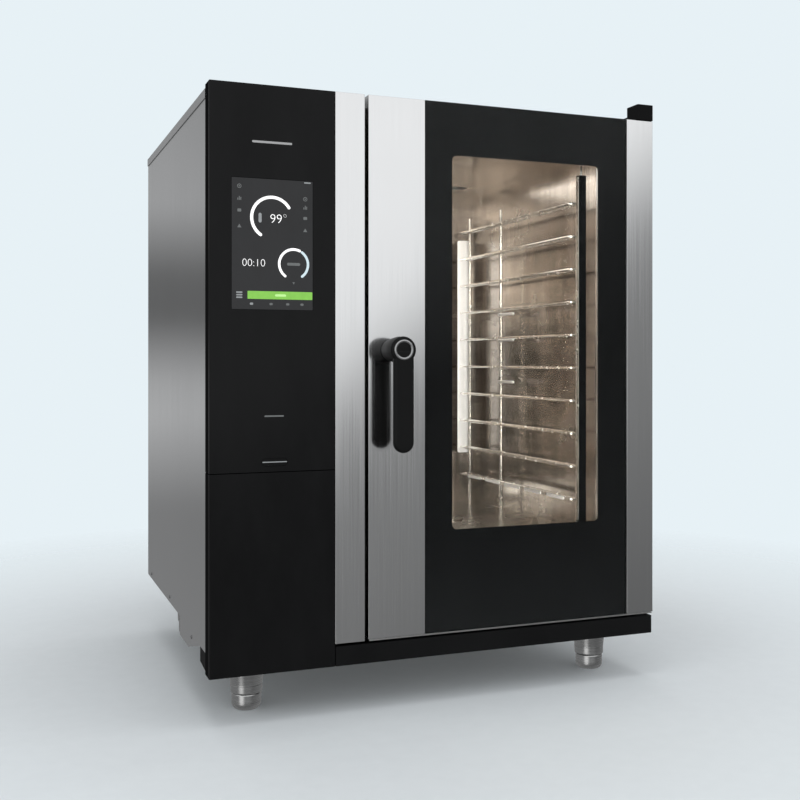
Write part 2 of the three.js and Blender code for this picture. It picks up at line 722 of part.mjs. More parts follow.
function steamPipe() {
  const start = new THREE.Vector3(-330, 240, 470 + GAP);
  const end = new THREE.Vector3(CAVITY.x0 - LINER / 2, STEAM_PORT.y, STEAM_PORT.z);
  const path = new THREE.CurvePath();
  const bend = new THREE.Vector3(-330, 240, STEAM_PORT.z - 30);
  const turn = new THREE.Vector3(-300, STEAM_PORT.y, STEAM_PORT.z);
  path.add(new THREE.LineCurve3(start, bend));
  path.add(new THREE.CubicBezierCurve3(
    bend, new THREE.Vector3(-330, 240, STEAM_PORT.z), new THREE.Vector3(-330, STEAM_PORT.y, STEAM_PORT.z), turn,
  ));
  path.add(new THREE.LineCurve3(turn, end));
  const section = new THREE.Shape();
  section.absarc(0, 0, STEAM_PORT.r, 0, 2 * Math.PI);
  return solid(new THREE.ExtrudeGeometry(section, { extrudePath: path, steps: 16, curveSegments: 4 }));
}

function waterValve() {
  const y1 = REAR_PANEL_Y - GAP;
  const pieces = [box(WATER.x - 24, WATER.x + WATER.step + 24, y1 - 60, y1, WATER.z - 20, WATER.z + 20)];
  for (const x of [WATER.x, WATER.x + WATER.step]) {
    pieces.push(bar('y', [x, WATER.z], WATER.r, y1 - 2, REAR - 1));
    pieces.push(box(x - 16, x + 16, y1 - 52, y1 - 14, WATER.z + 19, WATER.z + 58));
  }
  const bores = [WATER.x, WATER.x + WATER.step].map((x) => bar('y', [x, WATER.z], 8, y1 - 30, REAR + 5));
  return cut(join(...pieces), ...bores);
}

function condenserBox() {
  const top = CAVITY.z0 - LINER - GAP;
  const shell = [60, 276, -20, 300, 132, 238];
  const [x0, x1, y0, y1, z0, z1] = shell;
  const wall = 2;
  const pipeY = REAR - 1;
  return cut(
    join(
      box(...shell),
      bar('z', [DRAIN.x, DRAIN.y], DRAIN.r - 2, z1 - 1, top),
      bar('y', [DRAIN.x, DRAIN_PIPE.z], DRAIN_PIPE.r, y1 - 1, pipeY),
    ),
    box(x0 + wall, x1 - wall, y0 + wall, y1 - wall, z0 + wall, z1 - wall),
    bar('z', [DRAIN.x, DRAIN.y], DRAIN.r - 4, z1 - 10, top + 5),
    bar('y', [DRAIN.x, DRAIN_PIPE.z], DRAIN_PIPE.r - 2, y1 - 10, pipeY + 5),
  );
}

// a flat round cover with a ring of holes, on a short collar that hangs in the drain
function drainStrainer() {
  const top = CAVITY.z0 + GAP;
  const at = [DRAIN.x, DRAIN.y];
  const ring = { count: 8, r: 15, hole: 4 };
  const holes = [];
  for (let i = 0; i < ring.count; i += 1) {
    const angle = (i / ring.count) * 2 * Math.PI;
    const hole = [DRAIN.x + ring.r * Math.cos(angle), DRAIN.y + ring.r * Math.sin(angle)];
    holes.push(bar('z', hole, ring.hole, top - 30, top + 20, ring.hole, 8));
  }
  return cut(
    join(bar('z', at, 42, top, top + 2), bar('z', at, DRAIN.r - 5, top - 14, top + 1)),
    bar('z', at, DRAIN.r - 7, top - 20, top - 1),
    ...holes,
  );
}

function exhaustPipe() {
  return pipe('z', [EXHAUST.x, EXHAUST.y], EXHAUST.r, EXHAUST.r - 2, CAVITY.z1 + LINER / 2, STACK_TOP);
}

function airInletPipe() {
  const at = [INLET.x, INLET.y];
  return cut(
    pipe('z', at, INLET.r, INLET.r - 2, CAVITY.z1 + LINER / 2, STACK_TOP),
    bar('x', [INLET.y, DAMPER_Z], 2.4, INLET.x - 30, INLET.x + 30, 2.4, 8),
  );
}

function damper() {
  return join(
    bar('z', [INLET.x, INLET.y], INLET.r - 3, DAMPER_Z - 1, DAMPER_Z + 1),
    bar('x', [INLET.y, DAMPER_Z], 2, INLET.x - INLET.r - 3, INLET.x + INLET.r + 14, 2, 8),
  );
}

function damperMotor() {
  const x0 = INLET.x + INLET.r + 6;
  return cut(
    box(x0, x0 + 62, INLET.y - 22, INLET.y + 22, ROOF_TOP + GAP, ROOF_TOP + 29),
    bar('x', [INLET.y, DAMPER_Z], 2.4, x0 - 5, x0 + 12, 2.4, 8),
  );
}

node('steam_generator', steamGenerator(), polished);
node('steam_pipe', steamPipe(), polished);
node('water_valve', waterValve(), brass);
node('condenser_box', condenserBox(), polished);
node('drain_strainer', drainStrainer(), polished);
node('exhaust_pipe', exhaustPipe(), polished);
node('air_inlet_pipe', airInletPipe(), polished);
node('damper', damper(), steel);
node('damper_motor', damperMotor(), blackPlastic);

// ---------------------------------------------------------------- door

const FRAME = { x0: DOOR_LEFT + 2, x1: RIGHT - 2, z1: FRONT_TOP - 1 };
const DOOR_OPENING = { x0: -46, x1: 358, z0: 262, z1: 1076 };

// a channel frame, open to the front, where the strips and the outer glass close it
function doorFrame() {
  const { x0, x1, z1 } = FRAME;
  const open = DOOR_OPENING;
  const y0 = FRONT + 5.5;
  const w = SHEET;
  const pocket = cut(
    box(x0 + w, x1 - w, y0 - 5, DOOR_BACK - w, DOOR_BOTTOM + w, z1 - w),
    box(open.x0 - w, open.x1 + w, y0 - 10, DOOR_BACK + 5, open.z0 - w, open.z1 + w),
  );
  return cut(
    join(
      box(x0, x1, y0, DOOR_BACK, DOOR_BOTTOM, z1),
      box(x0, x1, FRONT + 0.3, y0 + 1, DOOR_BOTTOM, DOOR_BOTTOM + w + 1),
    ),
    pocket,
    box(open.x0, open.x1, y0 - 5, DOOR_BACK + 5, open.z0, open.z1),
    bar('z', [HINGE.x, HINGE.y], HINGE.pin + GAP, DOOR_BOTTOM - 5, DOOR_BOTTOM + 10),
    bar('z', [HINGE.x, HINGE.y], HINGE.pin + GAP, z1 - 10, z1 + 5),
    bar('y', [HANDLE.x, HANDLE.z], SPINDLE_R + GAP, DOOR_BACK - 10, DOOR_BACK + 5),
  );
}

// the stainless covers of the two stiles: a front, a deep outer side and a short return at the glass
function doorStripLeft() {
  const x0 = DOOR_LEFT;
  const x1 = GLASS_LEFT - GAP;
  const strip = prism('z', [
    [x0, FRONT], [x1, FRONT], [x1, FRONT + 4.5], [x1 - SHEET, FRONT + 4.5], [x1 - SHEET, FRONT + SHEET],
    [x0 + SHEET, FRONT + SHEET], [x0 + SHEET, DOOR_BACK], [x0, DOOR_BACK],
  ], DOOR_BOTTOM + 3, FRONT_TOP);
  return cut(strip, bar('y', [HANDLE.x, HANDLE.z], SPINDLE_R + GAP, FRONT - 5, FRONT + 10));
}

function doorStripRight() {
  const x0 = GLASS_RIGHT + GAP;
  const x1 = RIGHT;
  return prism('z', [
    [x0, FRONT], [x1, FRONT], [x1, DOOR_BACK], [x1 - SHEET, DOOR_BACK], [x1 - SHEET, FRONT + SHEET],
    [x0 + SHEET, FRONT + SHEET], [x0 + SHEET, FRONT + 4.5], [x0, FRONT + 4.5],
  ], DOOR_BOTTOM + 3, FRONT_TOP);
}

function doorOuterGlass() {
  return box(GLASS_LEFT, GLASS_RIGHT, FRONT, FRONT + GLASS, DOOR_BOTTOM + 3.3, FRONT_TOP);
}

// the black printed border behind the outer glass, with the clear window in it
function doorGlassMask() {
  const { x0, x1, z0, z1, r } = WINDOW;
  return cut(
    box(GLASS_LEFT, GLASS_RIGHT, FRONT + GLASS + 0.3, FRONT + GLASS + 1.1, DOOR_BOTTOM + 3, FRONT_TOP),
    prism('y', roundedRect(x0, x1, z0, z1, r), FRONT - 5, FRONT + 15),
  );
}

function doorInnerGlass() {
  const open = DOOR_OPENING;
  const edge = 3;
  return box(open.x0 + edge, open.x1 - edge, DOOR_BACK - 5.5, DOOR_BACK - 0.5, open.z0 + edge, open.z1 - edge);
}

// a tab that turns on the frame and reaches over the inner glass
function glassCatch(z) {
  const x = DOOR_OPENING.x0 - 9;
  return join(
    bar('y', [x, z], 6, DOOR_BACK + GAP, DOOR_BACK + 4, 6, 12),
    box(x, x + 20, DOOR_BACK + GAP, DOOR_BACK + 3, z - 4, z + 4),
  );
}

const LAMP = { x0: 292, x1: 310, y0: FRONT + 24, y1: FRONT + 38, z0: 314, z1: 1003 };

function ledBar() {
  const { x0, x1, y0, y1, z0, z1 } = LAMP;
  const middle = [(x0 + x1) / 2, (y0 + y1) / 2];
  return join(
    box(x0, x1, y0, y1, z0, z1),
    bar('z', middle, 4, DOOR_OPENING.z0 + GAP, z0 + 1, 4, 8),
    bar('z', middle, 4, z1 - 1, DOOR_OPENING.z1 - GAP, 4, 8),
  );
}

const LEVER_FRONT = FRONT - HANDLE_REACH + 1;
const RING = { outer: 18.5, inner: 15.5 };

function handleLever() {
  const { x, z, head, width, bottom, back } = HANDLE;
  const r = width / 2;
  const bevel = 5;
  const shape = roundedRect(x - 2 - r + bevel, x - 2 + r - bevel, bottom + bevel, z + 8, r - bevel - 0.1);
  const lever = new THREE.ExtrudeGeometry(shape, {
    depth: back - LEVER_FRONT - 2 * bevel,
    bevelSize: bevel,
    bevelThickness: bevel,
    bevelSegments: 2,
    curveSegments: 5,
  });
  lever.applyMatrix4(Z_TO_Y).translate(0, LEVER_FRONT + bevel, 0);
  return cut(
    join(
      solid(flipped(lever)),
      bar('y', [x, z], head - 2, LEVER_FRONT, LEVER_FRONT + 3, head),
      bar('y', [x, z], head, LEVER_FRONT + 3, back + 2),
      bar('y', [x, z], head, back + 2, FRONT - GAP, head - 4),
    ),
    pipe('y', [x, z], RING.outer + GAP, RING.inner - GAP, LEVER_FRONT - 1, LEVER_FRONT + 3),
    bar('y', [x, z], SPINDLE_R + GAP, back, FRONT + 1),
  );
}

// a thin bright ring let into the head of the lever
function handleRing() {
  return pipe('y', [HANDLE.x, HANDLE.z], RING.outer, RING.inner, FRONT - HANDLE_REACH, LEVER_FRONT + 2.7);
}

// the spindle through the door, with the hook that turns behind the door frame
function latchHook() {
  const { x, z, back } = HANDLE;
  const y0 = DOOR_BACK + GAP;
  return join(
    bar('y', [x, z], SPINDLE_R, back + GAP, y0 + 1),
    bar('y', [x, z], 13, y0, y0 + 5),
    box(x - 5, x + 5, y0, y0 + 5, z - 24, z),
    box(x - 12, x + 5, y0, y0 + 5, z - 24, z - 17),
  );
}

node('door_frame', doorFrame(), steel);
node('door_strip_left', doorStripLeft(), steel);
node('door_strip_right', doorStripRight(), steel);
node('door_outer_glass', doorOuterGlass(), clearGlass);
node('door_glass_mask', doorGlassMask(), blackGlass);
node('door_inner_glass', doorInnerGlass(), clearGlass);
node('glass_catch_upper', glassCatch(980), steel);
node('glass_catch_lower', glassCatch(360), steel);
node('led_bar', ledBar(), blackPlastic);
node('handle_lever', handleLever(), blackPlastic);
node('handle_ring', handleRing(), polished);
node('latch_hook', latchHook(), steel);

export default group;
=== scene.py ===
"""The looks of a ten-level combi steamer oven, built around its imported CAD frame.

Shapes are written in millimetres and turned into metres when a mesh is made.
+Z is up, the door faces -Y, and +X is to the right.
"""

import json
import math

import bmesh
import bpy
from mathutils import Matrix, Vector

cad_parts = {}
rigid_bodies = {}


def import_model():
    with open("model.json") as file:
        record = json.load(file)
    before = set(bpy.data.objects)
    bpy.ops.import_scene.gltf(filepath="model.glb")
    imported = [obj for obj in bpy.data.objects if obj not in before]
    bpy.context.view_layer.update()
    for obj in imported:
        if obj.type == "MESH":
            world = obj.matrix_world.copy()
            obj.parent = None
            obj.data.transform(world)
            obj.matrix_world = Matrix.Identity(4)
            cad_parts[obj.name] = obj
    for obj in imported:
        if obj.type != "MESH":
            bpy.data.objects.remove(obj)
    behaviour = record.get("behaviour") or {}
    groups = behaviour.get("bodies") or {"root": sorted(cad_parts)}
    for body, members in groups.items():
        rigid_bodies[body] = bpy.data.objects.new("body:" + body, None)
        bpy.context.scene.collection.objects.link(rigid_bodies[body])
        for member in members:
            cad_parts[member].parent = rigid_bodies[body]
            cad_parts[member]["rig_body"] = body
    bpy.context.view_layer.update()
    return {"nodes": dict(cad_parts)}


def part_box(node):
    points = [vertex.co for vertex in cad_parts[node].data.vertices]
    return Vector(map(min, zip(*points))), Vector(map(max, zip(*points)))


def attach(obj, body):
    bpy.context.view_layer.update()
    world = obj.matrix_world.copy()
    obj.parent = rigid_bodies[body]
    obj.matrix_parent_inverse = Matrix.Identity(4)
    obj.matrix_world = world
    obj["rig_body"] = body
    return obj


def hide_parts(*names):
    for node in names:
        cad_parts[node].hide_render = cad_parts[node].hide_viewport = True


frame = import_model()
nodes = frame["nodes"]

MM = 0.001
SMOOTH = 48        # steps round a large turned piece
FINE = 24          # steps round a small one
RACK_MIDDLE = 130  # place of the racks' middle upright along y
FIRST_RAIL = 350   # height of the lowest tray rail
RAIL_PITCH = 68    # one GN tray level to the next
CORNERS = ("front_left", "front_right", "rear_left", "rear_right")


def span(node):
    """A CAD node's box in millimetres: x0, x1, y0, y1, z0, z1."""
    low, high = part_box(node)
    return [value / MM for pair in zip(low, high) for value in pair]


def middle(node):
    x0, x1, y0, y1, z0, z1 = span(node)
    return (x0 + x1) / 2, (y0 + y1) / 2, (z0 + z1) / 2


# ---------------------------------------------------------------- shapes


def place(axis, a, b, along):
    """A point from its place along an axis and its two other coordinates, in x, y, z order."""
    if axis == "x":
        return along, a, b
    if axis == "y":
        return a, along, b
    return a, b, along


def block(bm, x0, x1, y0, y1, z0, z1):
    corners = [bm.verts.new((x, y, z)) for x in (x0, x1) for y in (y0, y1) for z in (z0, z1)]
    sides = ((0, 1, 3, 2), (4, 6, 7, 5), (0, 4, 5, 1), (2, 3, 7, 6), (0, 2, 6, 4), (1, 5, 7, 3))
    for side in sides:
        bm.faces.new([corners[i] for i in side])


def slab(bm, outline, axis, start, end):
    """A closed outline of (a, b) points pushed along an axis."""
    rings = [[bm.verts.new(place(axis, a, b, at)) for a, b in outline] for at in (start, end)]
    count = len(outline)
    for i in range(count):
        j = (i + 1) % count
        bm.faces.new((rings[0][i], rings[0][j], rings[1][j], rings[1][i]))
    bm.faces.new(rings[0])
    bm.faces.new(rings[1])


def lathe(bm, profile, axis, centre, steps=SMOOTH, closed=False):
    """(radius, place along the axis) points turned round an axis; a radius of 0 closes an end."""
    rings = []
    for radius, along in profile:
        if radius == 0:
            rings.append([bm.verts.new(place(axis, *centre, along))])
            continue
        turns = [2 * math.pi * i / steps for i in range(steps)]
        around = [(centre[0] + radius * math.cos(t), centre[1] + radius * math.sin(t)) for t in turns]
        rings.append([bm.verts.new(place(axis, a, b, along)) for a, b in around])
    pairs = list(zip(rings, rings[1:]))
    if closed:
        pairs.append((rings[-1], rings[0]))
    for near, far in pairs:
        for i in range(steps):
            j = (i + 1) % steps
            ring = [near[i % len(near)], near[j % len(near)], far[j % len(far)], far[i % len(far)]]
            unique = list(dict.fromkeys(ring))
            if len(unique) > 2:
                bm.faces.new(unique)


def rod(bm, axis, centre, radius, start, end, steps=FINE, edge=0.8):
    """A round bar with its two rims softened."""
    profile = [
        (0, start), (radius - edge, start), (radius, start + edge),
        (radius, end - edge), (radius - edge, end), (0, end),
    ]
    lathe(bm, profile, axis, centre, steps)


def tube(bm, axis, centre, outer, inner, start, end, steps=SMOOTH, edge=0.5):
    profile = [
        (inner, start), (outer - edge, start), (outer, start + edge),
        (outer, end - edge), (outer - edge, end), (inner, end),
    ]
    lathe(bm, profile, axis, centre, steps, closed=True)


def sweep(bm, points, radius, steps=10, closed=False):
    """A round wire along a path of points."""
    path = [Vector(p) for p in points]
    count = len(path)
    rings = []
    side = None
    for i, point in enumerate(path):
        after = path[(i + 1) % count] if closed or i + 1 < count else point
        before = path[i - 1] if closed or i else point
        forward = (after - before).normalized()
        if side is None:
            side = forward.orthogonal().normalized()
        side = (side - forward * side.dot(forward)).normalized()
        other = forward.cross(side)
        turns = [2 * math.pi * k / steps for k in range(steps)]
        spokes = [math.cos(t) * side + math.sin(t) * other for t in turns]
        rings.append([bm.verts.new(point + radius * spoke) for spoke in spokes])
    pairs = list(zip(rings, rings[1:]))
    if closed:
        pairs.append((rings[-1], rings[0]))
    for near, far in pairs:
        for i in range(steps):
            j = (i + 1) % steps
            bm.faces.new((near[i], near[j], far[j], far[i]))
    if not closed:
        bm.faces.new(rings[0])
        bm.faces.new(rings[-1])


def rounded(a0, a1, b0, b1, radius, steps=6):
    """A rectangle's outline with its four corners rounded."""
    corners = ((a1 - radius, b0 + radius, -90), (a1 - radius, b1 - radius, 0),
               (a0 + radius, b1 - radius, 90), (a0 + radius, b0 + radius, 180))
    points = []
    for a, b, start in corners:
        for i in range(steps + 1):
            turn = math.radians(start + 90 * i / steps)
            points.append((a + radius * math.cos(turn), b + radius * math.sin(turn)))
    return points


def polygon(a, b, radius, sides, turn=0.0):
    angles = [turn + 2 * math.pi * i / sides for i in range(sides)]
    return [(a + radius * math.cos(t), b + radius * math.sin(t)) for t in angles]


def hollow_frame(bm, outer, inner, y0, y1):
    """A flat frame that faces the front, between two outlines with as many points each."""
    rings = [[bm.verts.new((a, y, b)) for a, b in ring] for ring, y in
             ((outer, y0), (outer, y1), (inner, y1), (inner, y0))]
    for i in range(len(outer)):
        j = (i + 1) % len(outer)
        for near, far in zip(rings, rings[1:] + rings[:1]):
            bm.faces.new((near[i], near[j], far[j], far[i]))


def pill(bm, left, low, width, height, radius, y0, y1):
    """A flat bar with rounded corners that faces the front."""
    slab(bm, rounded(left, left + width, low, low + height, radius), "y", y0, y1)


def arc_band(bm, a, b, inner, outer, start, end, y0, y1, steps=40):
    """Part of a flat ring that faces the front, between two angles in degrees, with round ends."""
    mid = (inner + outer) / 2
    half = (outer - inner) / 2
    turns = [math.radians(start + (end - start) * i / steps) for i in range(steps + 1)]
    outline = [(a + outer * math.cos(t), b + outer * math.sin(t)) for t in turns]
    cap_a, cap_b = a + mid * math.cos(turns[-1]), b + mid * math.sin(turns[-1])
    for i in range(1, 6):
        t = turns[-1] + math.pi * i / 6
        outline.append((cap_a + half * math.cos(t), cap_b + half * math.sin(t)))
    outline += [(a + inner * math.cos(t), b + inner * math.sin(t)) for t in reversed(turns)]
    cap_a, cap_b = a + mid * math.cos(turns[0]), b + mid * math.sin(turns[0])
    for i in range(1, 6):
        t = turns[0] + math.pi + math.pi * i / 6
        outline.append((cap_a + half * math.cos(t), cap_b + half * math.sin(t)))
    slab(bm, outline, "y", y0, y1)


# ---------------------------------------------------------------- pieces


def soften(obj, width, segments):
    """Rounds an object's edges by a width in millimetres and keeps its flat faces flat."""
    bevel = obj.modifiers.new("edges", "BEVEL")
    bevel.width = width * MM
    bevel.segments = segments
    bevel.limit_method = "ANGLE"
    bevel.angle_limit = math.radians(32)
    bevel.use_clamp_overlap = True
    bevel.harden_normals = False
    normals = obj.modifiers.new("flats", "WEIGHTED_NORMAL")
    normals.keep_sharp = False


def put(name, data):
    obj = bpy.data.objects.new(name, data)
    bpy.context.scene.collection.objects.link(obj)
    return obj


def make(name, bm, material, body, replaces=(), bevel=0.0, segments=2, unit=MM):
    bmesh.ops.recalc_face_normals(bm, faces=bm.faces)
    bmesh.ops.scale(bm, vec=(unit, unit, unit), verts=bm.verts)
    mesh = bpy.data.meshes.new(name)
    bm.to_mesh(mesh)
    bm.free()
    mesh.shade_smooth()
    mesh.set_sharp_from_angle(angle=math.radians(32))
    mesh.materials.append(material)
    obj = put(name, mesh)
    if bevel:
        soften(obj, bevel, segments)
    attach(obj, body)
    if replaces:
        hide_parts(*replaces)
    return obj


def refine(node, material, bevel=0.5, segments=2, flat=False):
    """A CAD node's own shape in a finished material, its edges rounded where a bevel is given."""
    bm = bmesh.new()
    bm.from_mesh(nodes[node].data)
    bmesh.ops.remove_doubles(bm, verts=bm.verts, dist=0.01 * MM)
    if bevel:
        bmesh.ops.dissolve_limit(bm, angle_limit=math.radians(0.4), verts=bm.verts, edges=bm.edges)
    obj = make(node + "_finished", bm, material, nodes[node]["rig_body"], [node],
               bevel, segments, unit=1)
    if flat:
        obj.data.shade_flat()
    return obj


def body_of(node):
    return nodes[node]["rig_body"]


# ---------------------------------------------------------------- materials


def start_material(name, color, metallic=0.0, roughness=0.5, **sockets):
    """A material whose constant values sit on the shader's own sockets."""
    material = bpy.data.materials.new(name)
    material.use_nodes = True
    tree = material.node_tree
    shader = tree.nodes["Principled BSDF"]
    shader.inputs["Base Color"].default_value = (*color, 1)
    shader.inputs["Metallic"].default_value = metallic
    shader.inputs["Roughness"].default_value = roughness
    for socket, value in sockets.items():
        shader.inputs[socket.replace("_", " ")].default_value = value
    return material, tree, shader


def noise(tree, scale, detail=3.0, roughness=0.55):
    """Noise over the object's own coordinates; scale is in features per metre along x, y and z."""
    coords = tree.nodes.new("ShaderNodeTexCoord")
    mapping = tree.nodes.new("ShaderNodeMapping")
    mapping.inputs["Scale"].default_value = scale
    texture = tree.nodes.new("ShaderNodeTexNoise")
    texture.inputs["Scale"].default_value = 1.0
    texture.inputs["Detail"].default_value = detail
    texture.inputs["Roughness"].default_value = roughness
    tree.links.new(coords.outputs["Object"], mapping.inputs["Vector"])
    tree.links.new(mapping.outputs["Vector"], texture.inputs["Vector"])
    return texture.outputs["Fac"]


def spread(tree, value, low, high, start=0.3, end=0.7):
    """Maps a noise value's usual range to low..high."""
    node = tree.nodes.new("ShaderNodeMapRange")
    for socket, number in (("From Min", start), ("From Max", end), ("To Min", low), ("To Max", high)):
        node.inputs[socket].default_value = number
    tree.links.new(value, node.inputs["Value"])
    return node.outputs["Result"]


def blend(tree, factor, first, second):
    """Mixes two colours, each a tuple or a socket."""
    node = tree.nodes.new("ShaderNodeMix")
    node.data_type = "RGBA"
    tree.links.new(factor, node.inputs["Factor"])
    for socket, value in ((node.inputs[6], first), (node.inputs[7], second)):
        if isinstance(value, tuple):
            socket.default_value = (*value, 1)
        else:
            tree.links.new(value, socket)
    return node.outputs[2]


def tone(tree, shader, value, first, second):
    """Varies a shader's colour between two tones by a noise value."""
    tree.links.new(blend(tree, spread(tree, value, 0, 1), first, second), shader.inputs["Base Color"])


def bump(tree, shader, height, strength, distance):
    node = tree.nodes.new("ShaderNodeBump")
    node.inputs["Strength"].default_value = strength
    node.inputs["Distance"].default_value = distance
    tree.links.new(height, node.inputs["Height"])
    tree.links.new(node.outputs["Normal"], shader.inputs["Normal"])


def clear_by(tree, factor, shader, color=(1, 1, 1)):
    """Turns a shader see-through where the factor is 1, in a tint."""
    clear = tree.nodes.new("ShaderNodeBsdfTransparent")
    clear.inputs["Color"].default_value = (*color, 1)
    mix = tree.nodes.new("ShaderNodeMixShader")
    for source, socket in zip((factor, shader.outputs["BSDF"], clear.outputs["BSDF"]), mix.inputs):
        tree.links.new(source, socket)
    tree.links.new(mix.outputs["Shader"], tree.nodes["Material Output"].inputs["Surface"])


def shaded(color, factor):
    return tuple(min(1.0, channel * factor) for channel in color)


def brushed_metal(name, color, roughness, grain, contrast=0.10, depth=0.10, cloud=2.5):
    """Metal with a fine grain; grain is the noise scale, small along the brushing."""
    material, tree, shader = start_material(name, color, metallic=1.0, roughness=roughness)
    streaks = noise(tree, grain, detail=4)
    clouds = noise(tree, (cloud, cloud, cloud), detail=2)
    lined = blend(tree, spread(tree, streaks, 0, 1), shaded(color, 1 - contrast), shaded(color, 1 + contrast))
    worn = blend(tree, spread(tree, clouds, 0, 0.3), lined, shaded(color, 0.86))
    tree.links.new(worn, shader.inputs["Base Color"])
    tree.links.new(spread(tree, streaks, roughness - 0.05, roughness + 0.07), shader.inputs["Roughness"])
    bump(tree, shader, streaks, depth, 0.0002)
    return material


def plastic(name, color, roughness, grain=1500, depth=0.12, smudge=0.12, **sockets):
    """Moulded plastic with a fine texture and faint handling marks."""
    material, tree, shader = start_material(name, color, roughness=roughness, **sockets)
    pores = noise(tree, (grain, grain, grain), detail=2)
    marks = noise(tree, (9, 9, 9), detail=5, roughness=0.6)
    tone(tree, shader, marks, color, shaded(color, 1.35))
    tree.links.new(spread(tree, marks, roughness, roughness + smudge), shader.inputs["Roughness"])
    bump(tree, shader, pores, depth, 0.0002)
    return material


def black_glass_material():
    """Printed black behind polished glass, with the faint film that fingers and cloths leave."""
    color = (0.0062, 0.0062, 0.0064)
    material, tree, shader = start_material("black_glass", color, Specular_IOR_Level=0.09)
    film = noise(tree, (14, 14, 5), detail=6, roughness=0.65)
    tone(tree, shader, film, color, shaded(color, 1.5))
    tree.links.new(spread(tree, film, 0.05, 0.16), shader.inputs["Roughness"])
    bump(tree, shader, noise(tree, (5, 5, 5), detail=1), 0.02, 0.001)
    return material


def clear_glass_material(name, color):
    """Clear glass that lamps shine through; the film on it is only in its roughness."""
    material, tree, shader = start_material(name, color, roughness=0.0, Transmission_Weight=1.0, IOR=1.08)
    film = noise(tree, (12, 12, 4), detail=5, roughness=0.6)
    tree.links.new(spread(tree, film, 0.0, 0.02, 0.45, 0.75), shader.inputs["Roughness"])
    path = tree.nodes.new("ShaderNodeLightPath")
    clear_by(tree, path.outputs["Is Shadow Ray"], shader, color)
    return material


def cavity_steel_material():
    """Polished steel that many cooking cycles have warmed and clouded, with fine drawn lines."""
    color = (0.61, 0.555, 0.505)
    material, tree, shader = start_material("cavity_steel", color, metallic=1.0)
    clouds = noise(tree, (6, 6, 9), detail=4, roughness=0.55)
    lines = noise(tree, (25, 4, 110), detail=1)
    runs = noise(tree, (70, 55, 1.5), detail=3)
    toned = blend(tree, spread(tree, clouds, 0, 1), shaded(color, 0.62), shaded(color, 1.1))
    run = blend(tree, spread(tree, runs, 0, 0.55), toned, (0.26, 0.225, 0.20))
    lined = blend(tree, spread(tree, lines, 0, 0.4), run, (0.30, 0.265, 0.24))
    tree.links.new(lined, shader.inputs["Base Color"])
    tree.links.new(spread(tree, clouds, 0.14, 0.30), shader.inputs["Roughness"])
    bump(tree, shader, noise(tree, (7, 7, 11), detail=0), 0.10, 0.006)
    return material


def zinc_material():
    """Galvanised sheet: crystal patches a centimetre or two across."""
    color = (0.42, 0.44, 0.45)
    material, tree, shader = start_material("zinc_sheet", color, metallic=0.9, roughness=0.45)
    coords = tree.nodes.new("ShaderNodeTexCoord")
    cells = tree.nodes.new("ShaderNodeTexVoronoi")
    cells.inputs["Scale"].default_value = 70
    tree.links.new(coords.outputs["Object"], cells.inputs["Vector"])
    patch = spread(tree, cells.outputs["Color"], 0, 1, 0, 1)
    tree.links.new(blend(tree, patch, shaded(color, 0.82), shaded(color, 1.15)), shader.inputs["Base Color"])
    tree.links.new(spread(tree, cells.outputs["Color"], 0.36, 0.55, 0, 1), shader.inputs["Roughness"])
    bump(tree, shader, noise(tree, (120, 120, 120)), 0.06, 0.001)
    return material


def fibre_material(name, color):
    material, tree, shader = start_material(name, color, roughness=0.95, Sheen_Weight=0.3)
    strands = noise(tree, (260, 260, 900), detail=6, roughness=0.7)
    tone(tree, shader, strands, shaded(color, 0.6), shaded(color, 1.1))
    bump(tree, shader, strands, 0.7, 0.003)
    return material


def lit_material(name, color, strength):
    """A lit mark on the display, or a lamp's cover, with a slight unevenness in its surface; off the display,
    its grey and dim tones also give the flap latch's line a painted glint and the fascia's printed bar a
    painted glow.
    """
    material, tree, shader = start_material(name, shaded(color, 0.5), roughness=0.35)
    shader.inputs["Emission Color"].default_value = (*color, 1)
    shader.inputs["Emission Strength"].default_value = strength
    uneven = noise(tree, (90, 90, 90), detail=2)
    tone(tree, shader, uneven, shaded(color, 0.42), shaded(color, 0.55))
    return material


def screen_material():
    color = (0.012, 0.012, 0.013)
    material, tree, shader = start_material("display_glass", color, roughness=0.12, Specular_IOR_Level=0.3)
    shader.inputs["Emission Color"].default_value = (0.9, 0.95, 1.0, 1)
    shader.inputs["Emission Strength"].default_value = 0.005
    glow = noise(tree, (16, 16, 10), detail=3)
    tone(tree, shader, glow, shaded(color, 0.75), shaded(color, 1.3))
    tree.links.new(spread(tree, glow, 0.08, 0.18), shader.inputs["Roughness"])
    return material


VERTICAL = (520, 520, 3)
ALONG_Y = (520, 3, 520)
ROUND_Z = (8, 8, 900)
ROUND_Y = (8, 900, 8)

steel_front = brushed_metal("front_steel", (0.66, 0.66, 0.658), 0.12, VERTICAL, contrast=0.03, depth=0.04)
steel_side = brushed_metal("side_steel", (0.54, 0.54, 0.54), 0.17, VERTICAL, contrast=0.05, depth=0.05)
steel_roof = brushed_metal("roof_steel", (0.55, 0.55, 0.55), 0.32, ALONG_Y, contrast=0.08)
steel_turned = brushed_metal("turned_steel", (0.50, 0.50, 0.495), 0.24, ROUND_Z, contrast=0.12)
steel_rack = brushed_metal("rack_steel", (0.68, 0.65, 0.61), 0.22, (60, 60, 60), contrast=0.12)
# Full-white steel for the racks' hooks, slotted rail and rear strip: real parts, but a white brighter than
# any steel paints in their highlights.
steel_bracket_painted_highlight = brushed_metal("bracket_steel_painted_highlight", (1.0, 0.98, 1.0), 0.5, VERTICAL, contrast=0.03)
steel_pipe = brushed_metal("pipe_steel", (0.58, 0.57, 0.56), 0.25, ROUND_Z, contrast=0.10)
steel_screw = brushed_metal("screw_steel", (0.20, 0.20, 0.20), 0.34, (300, 300, 300), contrast=0.15)
steel_frame = brushed_metal("frame_steel", (0.50, 0.50, 0.49), 0.32, VERTICAL, contrast=0.08)
